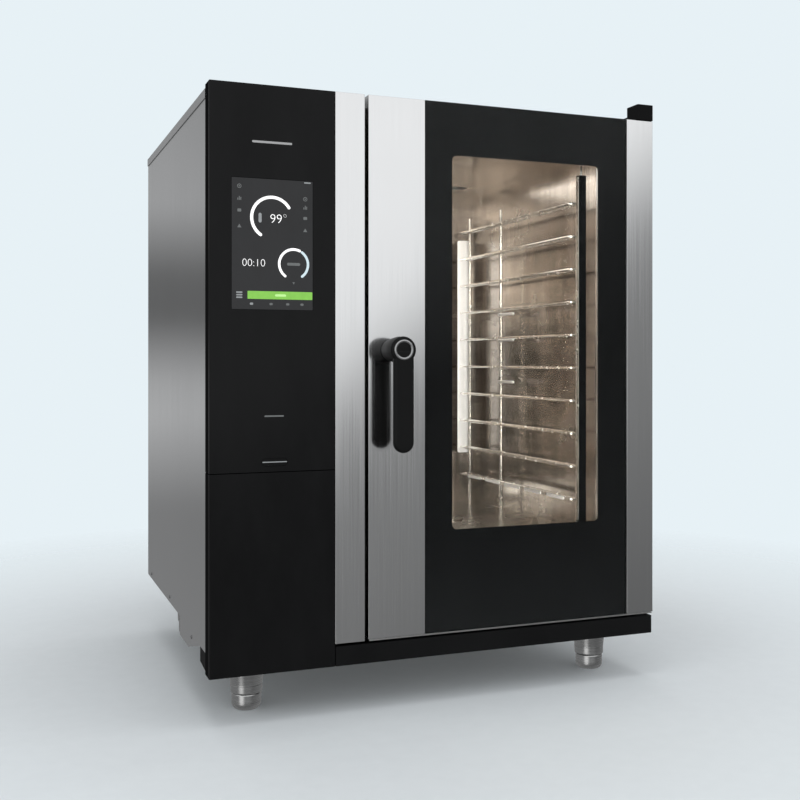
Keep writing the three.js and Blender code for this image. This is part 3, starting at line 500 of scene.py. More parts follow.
chrome = brushed_metal("ring_chrome", (0.33, 0.33, 0.33), 0.20, ROUND_Y, contrast=0.08, depth=0.04)
cast_aluminium = brushed_metal("cast_aluminium", (0.55, 0.55, 0.57), 0.42, (240, 240, 240), depth=0.5)
brass = brushed_metal("turned_brass", (0.62, 0.44, 0.20), 0.28, ROUND_Y, contrast=0.12)
cavity_steel = cavity_steel_material()
zinc = zinc_material()
black_glass = black_glass_material()
outer_glass = clear_glass_material("door_glass", (0.96, 0.98, 0.97))
inner_glass = clear_glass_material("inner_glass", (0.97, 0.98, 0.97))
bezel_plastic = plastic("bezel_plastic", (0.008, 0.008, 0.0082), 0.55, Specular_IOR_Level=0.0)
base_plastic = plastic("base_plastic", (0.007, 0.007, 0.0072), 0.5, Specular_IOR_Level=0.05)
grip_plastic = plastic("grip_plastic", (0.0065, 0.0065, 0.0065), 0.34, grain=1100, Specular_IOR_Level=0.10)
silicone = plastic("silicone", (0.018, 0.018, 0.018), 0.62, grain=700, depth=0.3)
mineral_wool = fibre_material("mineral_wool", (0.55, 0.50, 0.30))
filter_fleece = fibre_material("filter_fleece", (0.62, 0.62, 0.60))
display_glass = screen_material()
lit_white = lit_material("lit_white", (1.0, 1.0, 1.0), 0.95)
lit_blue = lit_material("lit_blue", (0.56, 0.68, 0.73), 0.85)
lit_green = lit_material("lit_green", (0.24, 0.60, 0.08), 0.62)
lit_pale_green = lit_material("lit_pale_green", (0.50, 0.85, 0.30), 0.75)
lit_grey = lit_material("lit_grey", (0.35, 0.37, 0.38), 0.45)
lit_dim = lit_material("lit_dim", (0.16, 0.17, 0.17), 0.45)
lamp_cover = lit_material("lamp_cover", (1.0, 0.95, 0.86), 6.0)


# ---------------------------------------------------------------- casing


def leg_bells():
    """The wide turned bell above each foot's pad."""
    low = span("base_pan")[4]
    profile = [
        (9, 0), (27.4, 0), (28.6, 0.6), (29.1, 1.8), (29.12, 2.2), (29.5, 14), (29.51, 14.4), (29.2, 14.8),
        (29.2, 16.2), (29.6, 16.6), (29.62, 17), (31, 30), (33, 55), (33, 55.5), (9, 55.5),
    ]
    for corner in CORNERS:
        x, y, _ = middle("foot_" + corner)
        bm = bmesh.new()
        lathe(bm, [(radius, low + rise) for radius, rise in profile], "z", (x, y), closed=True)
        make("leg_bell_" + corner, bm, steel_turned, "casing")


def base_tray():
    """The pan under the oven with its two hollow cross rails."""
    x0, x1, y0, y1, _, top = span("base_pan")
    low, floor, wall, inset = 85.6, 118, 2, 40
    bm = bmesh.new()
    block(bm, x0, x1, y0, y1, floor, top)
    for end, shift in (("front", 20), ("rear", 0)):
        _, y, _ = middle(f"foot_{end}_left")
        y += shift
        front, back = y - 27, y + 27
        left, right = x0 + inset, x1 - inset
        block(bm, left, right, front, front + wall, low, floor)
        block(bm, left, right, back - wall, back, low, floor)
        block(bm, left, right, front, back, low, low + wall)
        for x in (left, right - wall):
            block(bm, x, x + wall, front, back, low, floor)
    make("base_tray", bm, steel_frame, "casing", ["base_pan"], bevel=0.5)


def feet():
    """Screw-in pads with a rounded foot, a groove and a stem."""
    for corner in CORNERS:
        node = "foot_" + corner
        x, y, _ = middle(node)
        top = span(node)[5]
        bm = bmesh.new()
        lathe(bm, [
            (0, 0), (18, 0), (18.5, 0), (21, 0.5), (24.2, 2.6), (26.2, 6), (26.9, 9.5), (27, 13), (27, 13.4),
            (26.6, 13.6), (26.6, 14.8), (27, 15.0), (27, 15.4), (27, 27.2), (27, 27.6), (26.4, 28.7),
            (25.2, 29), (9, 29), (8, 30), (8, top - 1), (7, top), (0, top),
        ], "z", (x, y))
        make("pad_" + corner, bm, steel_turned, body_of(node), [node])


def pan_screw(bm, axis, centre, at, out, radius=3.2, height=1.6):
    """A low domed screw head with a round recess; out is the way it faces, +1 or -1."""
    dome = ((0, 0.45), (0.34, 0.45), (0.40, 0.95), (0.7, 0.9), (0.93, 0.6), (1, 0.15), (1, -0.1), (0, -0.1))
    lathe(bm, [(radius * r, at + out * height * h) for r, h in dome], axis, centre, 16)


def hinge_blocks():
    """The two plastic hinge blocks, whose pins share one upright axis."""
    boss, pin = 20, 6
    pin_x = middle("hinge_bracket_bottom")[0]
    pin_y = span("hinge_bracket_bottom")[2] + boss
    x0, x1, y0, y1, z0, z1 = span("hinge_bracket_top")
    bm = bmesh.new()
    slab(bm, rounded(x0, x1, y0, y0 + 41, 3.5), "z", z1 - 31, z1)
    slab(bm, rounded(x0 + 3, x1 - 3, y0 + 30, y1, 3), "z", z1 - 31, z1 - 18)
    block(bm, x0 + 3, x1 - 3, y1 - 28, y1, z1 - 38, z1 - 29)
    rod(bm, "z", (pin_x, pin_y), pin, z0, z1 - 29)
    make("hinge_block_top", bm, base_plastic, "casing", ["hinge_bracket_top"],
         bevel=1.2, segments=3)

    bm = bmesh.new()
    for y in (y1 - 22, y1 - 8):
        pan_screw(bm, "z", ((x0 + x1) / 2, y), z1 - 18, 1, 4.5, 2.4)
    make("hinge_block_screws", bm, steel_screw, "casing")

    x0, x1, y0, y1, z0, z1 = span("hinge_bracket_bottom")
    boss_top = z0 + 3
    bm = bmesh.new()
    rod(bm, "z", (pin_x, pin_y), boss, z0, boss_top, SMOOTH)
    block(bm, pin_x - 16, pin_x + 16, pin_y, y1, z0, boss_top)
    rod(bm, "z", (pin_x, pin_y), pin, z0, z1)
    make("hinge_block_bottom", bm, base_plastic, "casing", ["hinge_bracket_bottom"],
         bevel=0.4)


def casing_sheets():
    for side in ("left", "right"):
        refine("side_panel_" + side, steel_side, 0.6)
    refine("roof_panel", steel_roof, 0.0, flat=True)
    refine("rear_panel", zinc, 0.3)
    refine("base_gutter", base_plastic, 1.0, 3)
    refine("front_pillar", steel_front, 0.7, 3)
    refine("column_front_plate", zinc, 0.4)


def casing_screws():
    """Screw heads on the side panels' lower edges and round the rear panel."""
    left_face = span("side_panel_left")[0]
    right_face = span("side_panel_right")[1]
    x0, x1, _, rear_face, z0, z1 = span("rear_panel")
    flange_front, flange_low, flange_rear = -164, 117, 140
    near_left, near_right = x0 + 24, x1 - 24
    bm = bmesh.new()
    pan_screw(bm, "x", (flange_front, flange_low), left_face, -1, 3.4, 1.4)
    for y in (90, 350):
        for face, out in ((left_face, -1), (right_face, 1)):
            pan_screw(bm, "x", (y, flange_rear), face, out, 3.4, 1.4)
    for x in (near_left, -150, 40, 230, near_right):
        for z in (z0 + 10, z1 - 10):
            pan_screw(bm, "y", (x, z), rear_face, 1)
    for x in (near_left, near_right):
        for z in (330, 530, 730, 920):
            pan_screw(bm, "y", (x, z), rear_face, 1)
    make("casing_screws", bm, steel_screw, "casing")


def louvre_hoods():
    """Pressed hoods over the rear panel's slots, below the cooling fan."""
    face = span("rear_panel")[3]
    x = middle("cooling_fan_housing")[0]
    lowest, pitch, half_width = 508, 22, 68
    bm = bmesh.new()
    for i in range(8):
        z = lowest + pitch * i
        profile = [(face - 0.5, z + 2.5), (face + 2.2, z + 1.6), (face + 4.4, z - 1.4), (face + 5.2, z - 5.4),
                   (face + 4.2, z - 5.4), (face + 3.4, z - 1.8), (face + 1.6, z + 0.4), (face - 0.5, z + 1.2)]
        slab(bm, profile, "x", x - half_width, x + half_width)
    make("louvre_hoods", bm, zinc, "casing", bevel=0.3)


def fan_guard():
    """A wire finger guard over the cooling fan's hole."""
    x, _, z = middle("cooling_fan_housing")
    y = span("rear_panel")[3] + 2.2
    bm = bmesh.new()
    for radius in (12, 22, 32, 42, 51):
        loop = [(a, y, b) for a, b in polygon(x, z, radius, 40)]
        sweep(bm, loop, 1.0, 8, closed=True)
    for turn in range(4):
        angle = math.pi / 4 + turn * math.pi / 2
        start = (x + 12 * math.cos(angle), y - 1, z + 12 * math.sin(angle))
        end = (x + 60 * math.cos(angle), y - 1, z + 60 * math.sin(angle))
        sweep(bm, [start, end], 1.2, 8)
        pan_screw(bm, "y", (end[0], end[2]), y + 0.6, 1, 4, 1.6)
    make("fan_guard", bm, steel_screw, "casing")


def cooling_fan():
    """The small axial fan behind the rear panel: a square frame and a seven-bladed rotor."""
    x, _, z = middle("cooling_fan_housing")
    _, _, y0, y1, _, _ = span("cooling_fan_housing")
    bm = bmesh.new()
    outer = rounded(x - 60, x + 60, z - 60, z + 60, 6, 12)
    inner = [(x + 54 * (a - x) / math.hypot(a - x, b - z), z + 54 * (b - z) / math.hypot(a - x, b - z))
             for a, b in outer]
    hollow_frame(bm, outer, inner, y0, y1)
    block(bm, x - 56, x + 56, y1 - 3, y1, z - 3, z + 3)
    block(bm, x - 3, x + 3, y1 - 3, y1, z - 56, z + 56)
    make("cooling_fan_frame", bm, grip_plastic, "casing", ["cooling_fan_housing"], bevel=0.5)

    _, _, y0, y1, _, _ = span("cooling_fan_rotor")
    halfway = (y0 + y1) / 2 - 1
    bm = bmesh.new()
    rod(bm, "y", (x, z), 20, y0, y1, SMOOTH, edge=1.5)
    for blade in range(7):
        turn = 2 * math.pi * blade / 7
        rows = []
        for step in range(7):
            radius = 18 + 32.5 * step / 6
            twist = 0.42 + 0.10 * step / 6
            lean = turn + 0.10 * step / 6
            stations = ((lean - twist, y0 + 3), (lean, halfway), (lean + twist, y1 - 2))
            rows.append([(radius, angle, y) for angle, y in stations])
        for offset in (0.0, 1.2):
            for near, far in zip(rows, rows[1:]):
                for k in range(2):
                    quad = (near[k], near[k + 1], far[k + 1], far[k])
                    corners = [(x + r * math.cos(t), y + offset, z + r * math.sin(t)) for r, t, y in quad]
                    bm.faces.new([bm.verts.new(corner) for corner in corners])
    bmesh.ops.remove_doubles(bm, verts=bm.verts, dist=0.01)
    make("cooling_fan_blades", bm, grip_plastic, body_of("cooling_fan_rotor"), ["cooling_fan_rotor"])


def cable_gland():
    x, _, z = middle("cable_gland")
    _, _, y0, y1, _, _ = span("cable_gland")
    face = span("rear_panel")[2]
    bm = bmesh.new()
    tube(bm, "y", (x, z), 15, 10, y0, face + 12)
    lathe(bm, [
        (10, face + 10), (15.2, face + 10), (15.6, face + 12), (15, face + 16), (13.4, face + 19.6),
        (11.6, y1), (10, y1),
    ], "y", (x, z), closed=True)
    for near, far in ((face + 2, face + 9.4), (face - 9, face - 0.5)):
        nut = polygon(x, z, 20, 6, math.pi / 6)
        slab(bm, nut, "y", near, far)
    make("cable_gland_turned", bm, grip_plastic, "casing", ["cable_gland"], bevel=0.5)


# ---------------------------------------------------------------- control column

DISPLAY_FACE = span("display_screen")[2]


def display_marks(name, material, draw):
    """Lit marks a tenth of a millimetre proud of the display's face."""
    bm = bmesh.new()
    draw(bm, DISPLAY_FACE - 0.12, DISPLAY_FACE + 0.3)
    return make(name, bm, material, "casing")


def display_arc(name, material, centre, inner, outer, start, end):
    display_marks(name, material, lambda bm, y0, y1: arc_band(bm, *centre, inner, outer, start, end, y0, y1))


def display_text(name, body, size, x, z, material):
    """Generic figures, such as a clock's, as thin solid shapes on the display."""
    curve = bpy.data.curves.new(name, "FONT")
    curve.body = body
    curve.size = size * MM
    curve.extrude = 0.12 * MM
    curve.offset = -0.45 * MM
    curve.align_x = "CENTER"
    curve.align_y = "CENTER"
    text = put(name + "_curve", curve)
    text.location = (x * MM, (DISPLAY_FACE - 0.02) * MM, z * MM)
    text.rotation_euler = (math.pi / 2, 0, 0)
    bpy.context.view_layer.update()
    graph = bpy.context.evaluated_depsgraph_get()
    mesh = bpy.data.meshes.new_from_object(text.evaluated_get(graph))
    mesh.transform(text.matrix_world)
    bpy.data.objects.remove(text)
    mesh.materials.clear()
    mesh.materials.append(material)
    obj = put(name, mesh)
    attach(obj, "casing")


def icon(bm, kind, x, z, y0, y1):
    """One of four plain signs about 8 mm across: a ring with a dot, bars, a square and a triangle."""
    if kind == 0:
        arc_band(bm, x, z, 2.6, 3.8, 5, 350, y0, y1)
        slab(bm, polygon(x, z, 1.2, 12), "y", y0, y1)
    elif kind == 1:
        for shift, height in ((-2.6, 4), (0, 7), (2.6, 5.5)):
            pill(bm, x + shift - 0.8, z - 3.5, 1.6, height, 0.7, y0, y1)
    elif kind == 2:
        pill(bm, x - 3.4, z - 2.6, 6.8, 5.2, 1.2, y0, y1)
    else:
        slab(bm, polygon(x, z, 4.2, 3, math.pi / 2), "y", y0, y1)


def display():
    """The screen's two gauges, its start bar, plain signs and generic figures."""
    refine("display_screen", display_glass, 0.4)
    x0, x1, _, _, z0, z1 = span("display_screen")
    edge = 5
    left, right = x0 + edge, x1 - edge
    bottom, top = z0 + edge, z1 - edge
    gauge = (left + 71.5, top - 68)
    timer = (left + 110.8, top - 148)

    display_arc("gauge_arc", lit_white, gauge, 33.6, 38.9, 32, 236)
    display_arc("timer_arc_white", lit_white, timer, 24.0, 28.4, 65, 234)
    display_arc("timer_arc_blue", lit_blue, timer, 24.0, 28.4, -54, 55)

    def start_bar(bm, y0, y1):
        pill(bm, left + 28, bottom + 18.5, right - left - 29, 13.8, 1.2, y0, y1)

    def start_mark(bm, y0, y1):
        pill(bm, left + 77, bottom + 23.4, 20, 4, 1.8, y0 - 0.1, y1)

    def bright_marks(bm, y0, y1):
        pill(bm, left + 47.5, gauge[1] - 9, 5.5, 17, 2.7, y0, y1)
        pill(bm, right - 16, top - 4.2, 12, 2.4, 1, y0, y1)
        for row in range(3):
            pill(bm, left + 8, bottom + 19.5 + row * 4.4, 11, 2.6, 1.2, y0, y1)
        pill(bm, left + 32, bottom + 8, 6, 4, 1.8, y0, y1)

    def dim_marks(bm, y0, y1):
        for side, drops in ((left + 13.5, (15, 36, 57, 85)), (right - 14, (32, 47, 66, 88))):
            for kind, drop in enumerate(drops):
                icon(bm, kind, side, top - drop, y0, y1)
        slab(bm, polygon(timer[0], timer[1] - 33, 2.6, 3, -math.pi / 2), "y", y0, y1)
        pill(bm, timer[0] - 12, timer[1] - 2.5, 24, 5, 2.4, y0, y1)
        for shift in (67, 97, 123):
            pill(bm, left + shift, bottom + 8, 6, 4, 1.8, y0, y1)

    display_marks("start_bar", lit_green, start_bar)
    display_marks("start_bar_mark", lit_pale_green, start_mark)
    display_marks("display_marks_bright", lit_grey, bright_marks)
    display_marks("display_marks_dim", lit_dim, dim_marks)
    display_text("gauge_figures", "99°", 23, gauge[0] + 12, gauge[1] - 2, lit_white)
    display_text("timer_figures", "00:10", 19, left + 39, timer[1], lit_white)


def control_column():
    """The fascia with its plain bars, the service flap, and the boxes behind them; the fascia's printed bar
    has a painted glow and the latch carries a painted glint line.
    """
    refine("fascia_glass", black_glass, 0.5, 3)
    refine("fascia_bezel", bezel_plastic, 0.5)
    refine("flap_glass", black_glass, 0.5, 3)
    refine("flap_pan", bezel_plastic, 0.5)
    refine("flap_latch", black_glass, 0.4)
    refine("air_filter", filter_fleece, 0.0)
    refine("control_box", zinc, 0.5)

    # A thin glowing line on the flap latch's lower lip: a painted glint for the light its finger recess
    # catches, not a lamp.
    x0, x1, face, _, z0, _ = span("flap_latch")
    bm = bmesh.new()
    pill(bm, x0 + 1, z0 + 6.2, x1 - x0 - 2, 1.6, 0.7, face - 0.12, face + 0.4)
    make("latch_painted_glint", bm, lit_grey, body_of("flap_latch"))

    # The fascia's bar below is real print, but its emissive material adds a painted glow, as it is no lamp.
    x0, _, face, _, z0, z1 = span("fascia_glass")
    bm = bmesh.new()
    pill(bm, x0 + 97, z0 + 96.3, 35, 2.6, 1.2, face - 0.12, face + 0.4)
    make("fascia_bar_painted_glow", bm, lit_dim, "casing")

    bm = bmesh.new()
    pill(bm, x0 + 75, z1 - 102.5, 72, 4, 1.9, face - 0.3, face + 0.4)
    make("fascia_badge", bm, chrome, "casing", bevel=0.15)


# ---------------------------------------------------------------- oven cavity


def gasket():
    """A hollow-section seal with two soft lips round the cavity's mouth."""
    x0, x1, y0, y1, z0, z1 = span("door_gasket")
    bm = bmesh.new()
    for inset, radius, y in ((4.2, 2.9, y0 + 3.2), (8.6, 2.4, y0 + 2.7)):
        loop = [(a, y, b) for a, b in rounded(x0 + inset, x1 - inset, z0 + inset, z1 - inset, 14 - inset)]
        sweep(bm, loop, radius, 12, closed=True)
    outer = rounded(x0 + 0.6, x1 - 0.6, z0 + 0.6, z1 - 0.6, 17)
    inner = rounded(x0 + 11.4, x1 - 11.4, z0 + 11.4, z1 - 11.4, 6)
    hollow_frame(bm, outer, inner, y1 - 2.4, y1)
    make("gasket_seal", bm, silicone, "casing", ["door_gasket"])


def racks():
    """Tray racks: uprights, a wire loop for each level, hooks, a slotted rail and a rear strip, the last
    three in full-white steel that paints in their highlights.
    """
    for side, name in ((-1, "rack_left"), (1, "rack_right")):
        x0, x1, y0, y1, z0, z1 = span(name)
        wall, tray = (x0, x1) if side < 0 else (x1, x0)
        bm = bmesh.new()
        for y in (y0 + 12, RACK_MIDDLE, y1 - 12):
            rod(bm, "z", (wall - side * 4, y), 4, z0, z1, 16)
        for level in range(10):
            z = FIRST_RAIL + RAIL_PITCH * level - 2.6
            low, high = sorted((tray + side * 2.6, wall - side * 6.5))
            sweep(bm, [(a, b, z) for a, b in rounded(low, high, y0 + 2.6, y1 - 2.6, 8)], 2.6, 10, closed=True)
        make(name + "_wires", bm, steel_rack, body_of(name), [name])

        bm = bmesh.new()
        for level in (3.45, 4.9, 5.8):
            z = FIRST_RAIL + RAIL_PITCH * level
            rod(bm, "y", (wall - side * 8.5, z), 3, RACK_MIDDLE - 74, RACK_MIDDLE, 12)
        make(name + "_hooks", bm, steel_bracket_painted_highlight, body_of(name))

        bm = bmesh.new()
        near, far = sorted((tray - side * 0.6, tray + side * 0.6))
        for dash in range(5):
            y = y0 + 24 + 100 * dash
            slab(bm, rounded(y, y + 74, FIRST_RAIL - 5.8, FIRST_RAIL + 0.6, 2.4), "x", near, far)
        make(name + "_slotted_rail", bm, steel_bracket_painted_highlight, body_of(name))

        low, high = sorted((wall - side * 0.4, tray - side * 5))
        bm = bmesh.new()
        slab(bm, rounded(low, high, z0 + 125.6, z1 - 56, 5), "y", y1 - 5, y1 - 3.8)
        make(name + "_rear_bracket", bm, steel_bracket_painted_highlight, body_of(name))


def fan_and_heater():
    """The main fan's bladed wheel and shaft, and the two heater rings round it."""
    x0, x1, y0, y1, z0, z1 = span("fan_wheel")
    y, z = (y0 + y1) / 2, (z0 + z1) / 2
    radius = (y1 - y0) / 2
    bm = bmesh.new()
    tube(bm, "x", (y, z), radius, 10.2, x0, x0 + 3)
    tube(bm, "x", (y, z), 24, 10.2, x0 + 2, x0 + 40)
    tube(bm, "x", (y, z), radius, radius - 36, x0 + 60, x1)
    for blade in range(24):
        turn = 2 * math.pi * blade / 24
        points = []
        for step in range(7):
            reach = radius - 46 + 44 * step / 6
            lean = turn + 0.32 * (1 - step / 6) ** 2
            points.append((y + reach * math.cos(lean), z + reach * math.sin(lean)))
        back = [(a + 1.5 * math.sin(turn), b - 1.5 * math.cos(turn)) for a, b in reversed(points)]
        slab(bm, points + back, "x", x0 + 2, x0 + 61)
    make("fan_wheel_bladed", bm, cavity_steel, body_of("fan_wheel"), ["fan_wheel"],
         bevel=0.3)

    bm = bmesh.new()
    sx0, sx1, *_ = span("fan_shaft")
    rod(bm, "x", (y, z), 10, sx0, sx1, SMOOTH, edge=1.5)
    make("fan_shaft_turned", bm, steel_turned, body_of("fan_shaft"), ["fan_shaft"])

    hx0 = span("heating_element")[0]
    ring = radius + 26
    bm = bmesh.new()
    for x in (hx0 + 33.6, hx0 + 61.6):
        loop = [(x, a, b) for a, b in polygon(y, z, ring, 72)]
        sweep(bm, loop, 4.5, 12, closed=True)
    for quarter in (0.25, 0.75, 1.25, 1.75):
        a = y + (ring - 1) * math.cos(quarter * math.pi)
        b = z + (ring - 1) * math.sin(quarter * math.pi)
        rod(bm, "x", (a, b), 5, hx0, hx0 + 62, 16)
    make("heater_coils", bm, steel_turned, "casing", ["heating_element"])


def cavity():
    refine("cavity_liner", cavity_steel, 1.2, 3)
    refine("air_baffle", cavity_steel, 0.3)
    for end in ("upper", "lower"):
        refine("baffle_lock_" + end, steel_turned, 0.6)
    refine("drain_strainer", cavity_steel, 0.4)
    refine("latch_keeper", steel_turned, 0.5)
    refine("insulation_jacket", mineral_wool, 0.0)
    refine("fan_motor", cast_aluminium, 1.0)


# ---------------------------------------------------------------- steam, water and air


def plumbing():
    """The steam generator and its pipe, the threaded water inlets and the condenser's drain."""
    refine("steam_generator", cavity_steel, 1.0)
    refine("steam_pipe", steel_pipe, 0.0)
    refine("condenser_box", cavity_steel, 0.4)

    x0, x1, y0, y1, z0, z1 = span("water_valve")
    body_back = span("rear_panel")[2] - 0.4
    z = z0 + 20
    bm = bmesh.new()
    block(bm, x0, x1, y0, body_back, z0, z0 + 40)
    for x in (x0 + 24, x1 - 24):
        thread = [(8, body_back - 28), (8, y1), (12, y1), (12.8, y1 - 1)]
        at = y1 - 2
        while at > body_back + 8:
            thread += [(12.1, at), (12.9, at - 0.9)]
            at -= 1.8
        thread += [(12.9, body_back + 4), (12.9, body_back - 1), (9, body_back - 28)]
        lathe(bm, thread, "y", (x, z), 32, closed=True)
        block(bm, x - 16, x + 16, body_back - 52, body_back - 14, z0 + 39, z1)
    make("water_valve_turned", bm, brass, "casing", ["water_valve"], bevel=0.4)

    bm = bmesh.new()
    x, _, _ = middle("condenser_box")
    _, _, _, back, z0, _ = span("condenser_box")
    pipe_z = z0 + 40
    tube(bm, "y", (x, pipe_z), 25.3, 22.7, back - 30, back - 0.01)
    tube(bm, "y", (x, pipe_z), 27.4, 24.8, back - 7, back - 3.5)
    make("drain_pipe_end", bm, steel_pipe, "casing")


def roof_fittings():
    """The exhaust and air inlet pipes with their collars, and the damper with its motor."""
    roof = span("roof_panel")[5]
    for node, inner in (("exhaust_pipe", 23), ("air_inlet_pipe", 18)):
        x, y, _ = middle(node)
        x0, x1, _, _, z0, z1 = span(node)
        outer = (x1 - x0) / 2
        bm = bmesh.new()
        tube(bm, "z", (x, y), outer, inner, z0, z1)
        make(node + "_drawn", bm, steel_pipe, "casing", [node])
        bm = bmesh.new()
        lathe(bm, [
            (outer + 0.2, roof + 0.1), (outer + 13, roof + 0.1), (outer + 13, roof + 1.2),
            (outer + 5, roof + 1.9), (outer + 2.2, roof + 3.4), (outer + 1.6, roof + 7),
            (outer + 0.2, roof + 7),
        ], "z", (x, y), closed=True)
        for turn in range(3):
            angle = 2 * math.pi * turn / 3 + 0.5
            spot = (x + (outer + 9) * math.cos(angle), y + (outer + 9) * math.sin(angle))
            pan_screw(bm, "z", spot, roof + 1.5, 1, 2.4, 1.4)
        make(node + "_collar", bm, steel_roof, "casing")

    x, y, z = middle("damper")
    x0, x1, *_ = span("damper")
    bm = bmesh.new()
    rod(bm, "z", (middle("air_inlet_pipe")[0], y), 17, z - 1, z + 1, SMOOTH, edge=0.4)
    rod(bm, "x", (y, z), 2, x0, x1, 16, edge=0.5)
    make("damper_disc", bm, steel_turned, body_of("damper"), ["damper"])

    x0, x1, y0, y1, z0, z1 = span("damper_motor")
    bm = bmesh.new()
    slab(bm, rounded(x0, x1, y0, y1, 4), "z", z0, z1 - 6)
    slab(bm, rounded(x0 + 3, x1 - 3, y0 + 3, y1 - 3, 4), "z", z1 - 6.5, z1)
    make("damper_motor_case", bm, grip_plastic, "casing", ["damper_motor"],
         bevel=0.8, segments=3)
    bm = bmesh.new()
    for x in (x0 + 6, x1 - 6):
        for y in (y0 + 6, y1 - 6):
            pan_screw(bm, "z", (x, y), z1 - 0.1, 1, 2.4, 1.0)
    make("damper_motor_screws", bm, steel_screw, "casing")


# ---------------------------------------------------------------- door


def door():
    """The door's frame, strips and glasses, and the lamp bar on its two pins."""
    refine("door_frame", steel_frame, 0.5)
    for side in ("left", "right"):
        refine("door_strip_" + side, steel_front, 0.7, 3)
    refine("door_outer_glass", outer_glass, 0.6, 3)
    refine("door_glass_mask", black_glass, 0.0)
    refine("door_inner_glass", inner_glass, 0.6)
    for end in ("upper", "lower"):
        refine("glass_catch_" + end, steel_turned, 0.5)

    x0, x1, y0, y1, z0, z1 = span("led_bar")
    low, high = z0 + 51.6, z1 - 72.6
    bm = bmesh.new()
    slab(bm, rounded(x0 + 1, x1, y0, y1, 2.5), "z", low, high)
    make("lamp_housing", bm, base_plastic, "door", ["led_bar"], bevel=0.5)
    bm = bmesh.new()
    for near, far in ((z0, low + 1), (high - 1, z1)):
        rod(bm, "z", ((x0 + x1) / 2 + 2, y1 - 4), 2, near, far, 16, edge=0.4)
    make("lamp_pins", bm, steel_rack, "door")
    bm = bmesh.new()
    slab(bm, rounded(x0 + 3, x1 - 3, y1 - 1.0, y1 + 0.0, 0.4), "z", low + 4, high - 4)
    make("lamp_window", bm, lamp_cover, "door")
    bm = bmesh.new()
    slab(bm, rounded(x0, x0 + 0.9, y0 + 1, y1 - 3, 0.4), "z", low + 3, high - 3)
    make("lamp_edge", bm, steel_rack, "door")


def handle():
    """The lever's flat grip with its round end, and its turned head with a polished ring."""
    _, _, y0, y1, z0, _ = span("handle_lever")
    centre, _, top = middle("handle_ring")
    grip_back = y0 + 13.5
    arm, half = centre + 1, 19
    bm = bmesh.new()
    outline = [(arm + half, top), (arm - half, top)]
    for step in range(21):
        turn = math.pi + math.pi * step / 20
        outline.append((arm + half * math.cos(turn), z0 + half + half * math.sin(turn)))
    slab(bm, outline, "y", y0, grip_back)
    make("handle_grip", bm, grip_plastic, "handle", ["handle_lever"], bevel=5.0, segments=6)

    bm = bmesh.new()
    lathe(bm, [
        (0, y1), (19, y1), (20, y1 - 1), (21.2, y1 - 12), (23.3, y1 - 32), (24, y1 - 42), (24, y0 + 5),
        (23.6, y0 + 2.8), (22.6, y0 + 1.1), (21, y0 + 0.2), (19.2, y0), (18.7, y0 + 0.6), (18.7, y0 + 2.2),
        (13.4, y0 + 2.2), (13.4, y0 + 1.2), (12.6, y0 + 0.9), (7, y0 + 0.7), (0, y0 + 0.6),
    ], "y", (centre, top), 64)
    make("handle_head", bm, grip_plastic, "handle")

    _, _, r0, r1, _, _ = span("handle_ring")
    bm = bmesh.new()
    lathe(bm, [
        (13.6, r1), (13.6, r0 + 0.9), (14.2, r0 + 0.3), (15.2, r0), (16.9, r0), (18.1, r0 + 0.3),
        (18.5, r0 + 0.9), (18.5, r1),
    ], "y", (centre, top), 64, closed=True)
    make("handle_ring_polished", bm, chrome, "handle", ["handle_ring"])
    refine("latch_hook", steel_turned, 0.5)


# ---------------------------------------------------------------- studio


def levels(tree, split, stops, lean=0.0):
    """Brightness against height, from -1 (down) to +1 (up), tilted by a lean towards +X."""
    right = tree.nodes.new("ShaderNodeMath")
    right.operation = "MAXIMUM"
    right.inputs[1].default_value = 0.22
    tree.links.new(split.outputs["X"], right.inputs[0])
    slope = tree.nodes.new("ShaderNodeMath")
    slope.operation = "MULTIPLY_ADD"
    slope.inputs[1].default_value = -lean
    tree.links.new(right.outputs["Value"], slope.inputs[0])
    tree.links.new(split.outputs["Z"], slope.inputs[2])
    centre = -0.33 * lean
    height = spread(tree, slope.outputs["Value"], 0, 1, centre - 1, centre + 1)
    ramp = tree.nodes.new("ShaderNodeValToRGB")
    elements = ramp.color_ramp.elements
    while len(elements) < len(stops):
        elements.new(0.5)
    for element, (z, level) in zip(elements, stops):
        element.position = (z + 1) / 2
        element.color = (0.985 * level / 2, level / 2, 1.015 * level / 2, 1)
    tree.links.new(height, ramp.inputs["Fac"])
    return ramp.outputs["Color"]


def low_band(tree, coords, split):
    """A band low on the front left, which turned metal near the floor picks up as an upright glint."""
    toward = tree.nodes.new("ShaderNodeVectorMath")
    toward.operation = "DOT_PRODUCT"
    toward.inputs[1].default_value = (-0.77, -0.635, 0)
    tree.links.new(coords.outputs["Generated"], toward.inputs[0])
    band = spread(tree, toward.outputs["Value"], 0, 1, 0.88, 0.95)
    low_down = spread(tree, split.outputs["Z"], 1, 0, -0.24, -0.14)
    both = tree.nodes.new("ShaderNodeMath")
    both.operation = "MULTIPLY"
    tree.links.new(band, both.inputs[0])
    tree.links.new(low_down, both.inputs[1])
    return both.outputs["Value"]


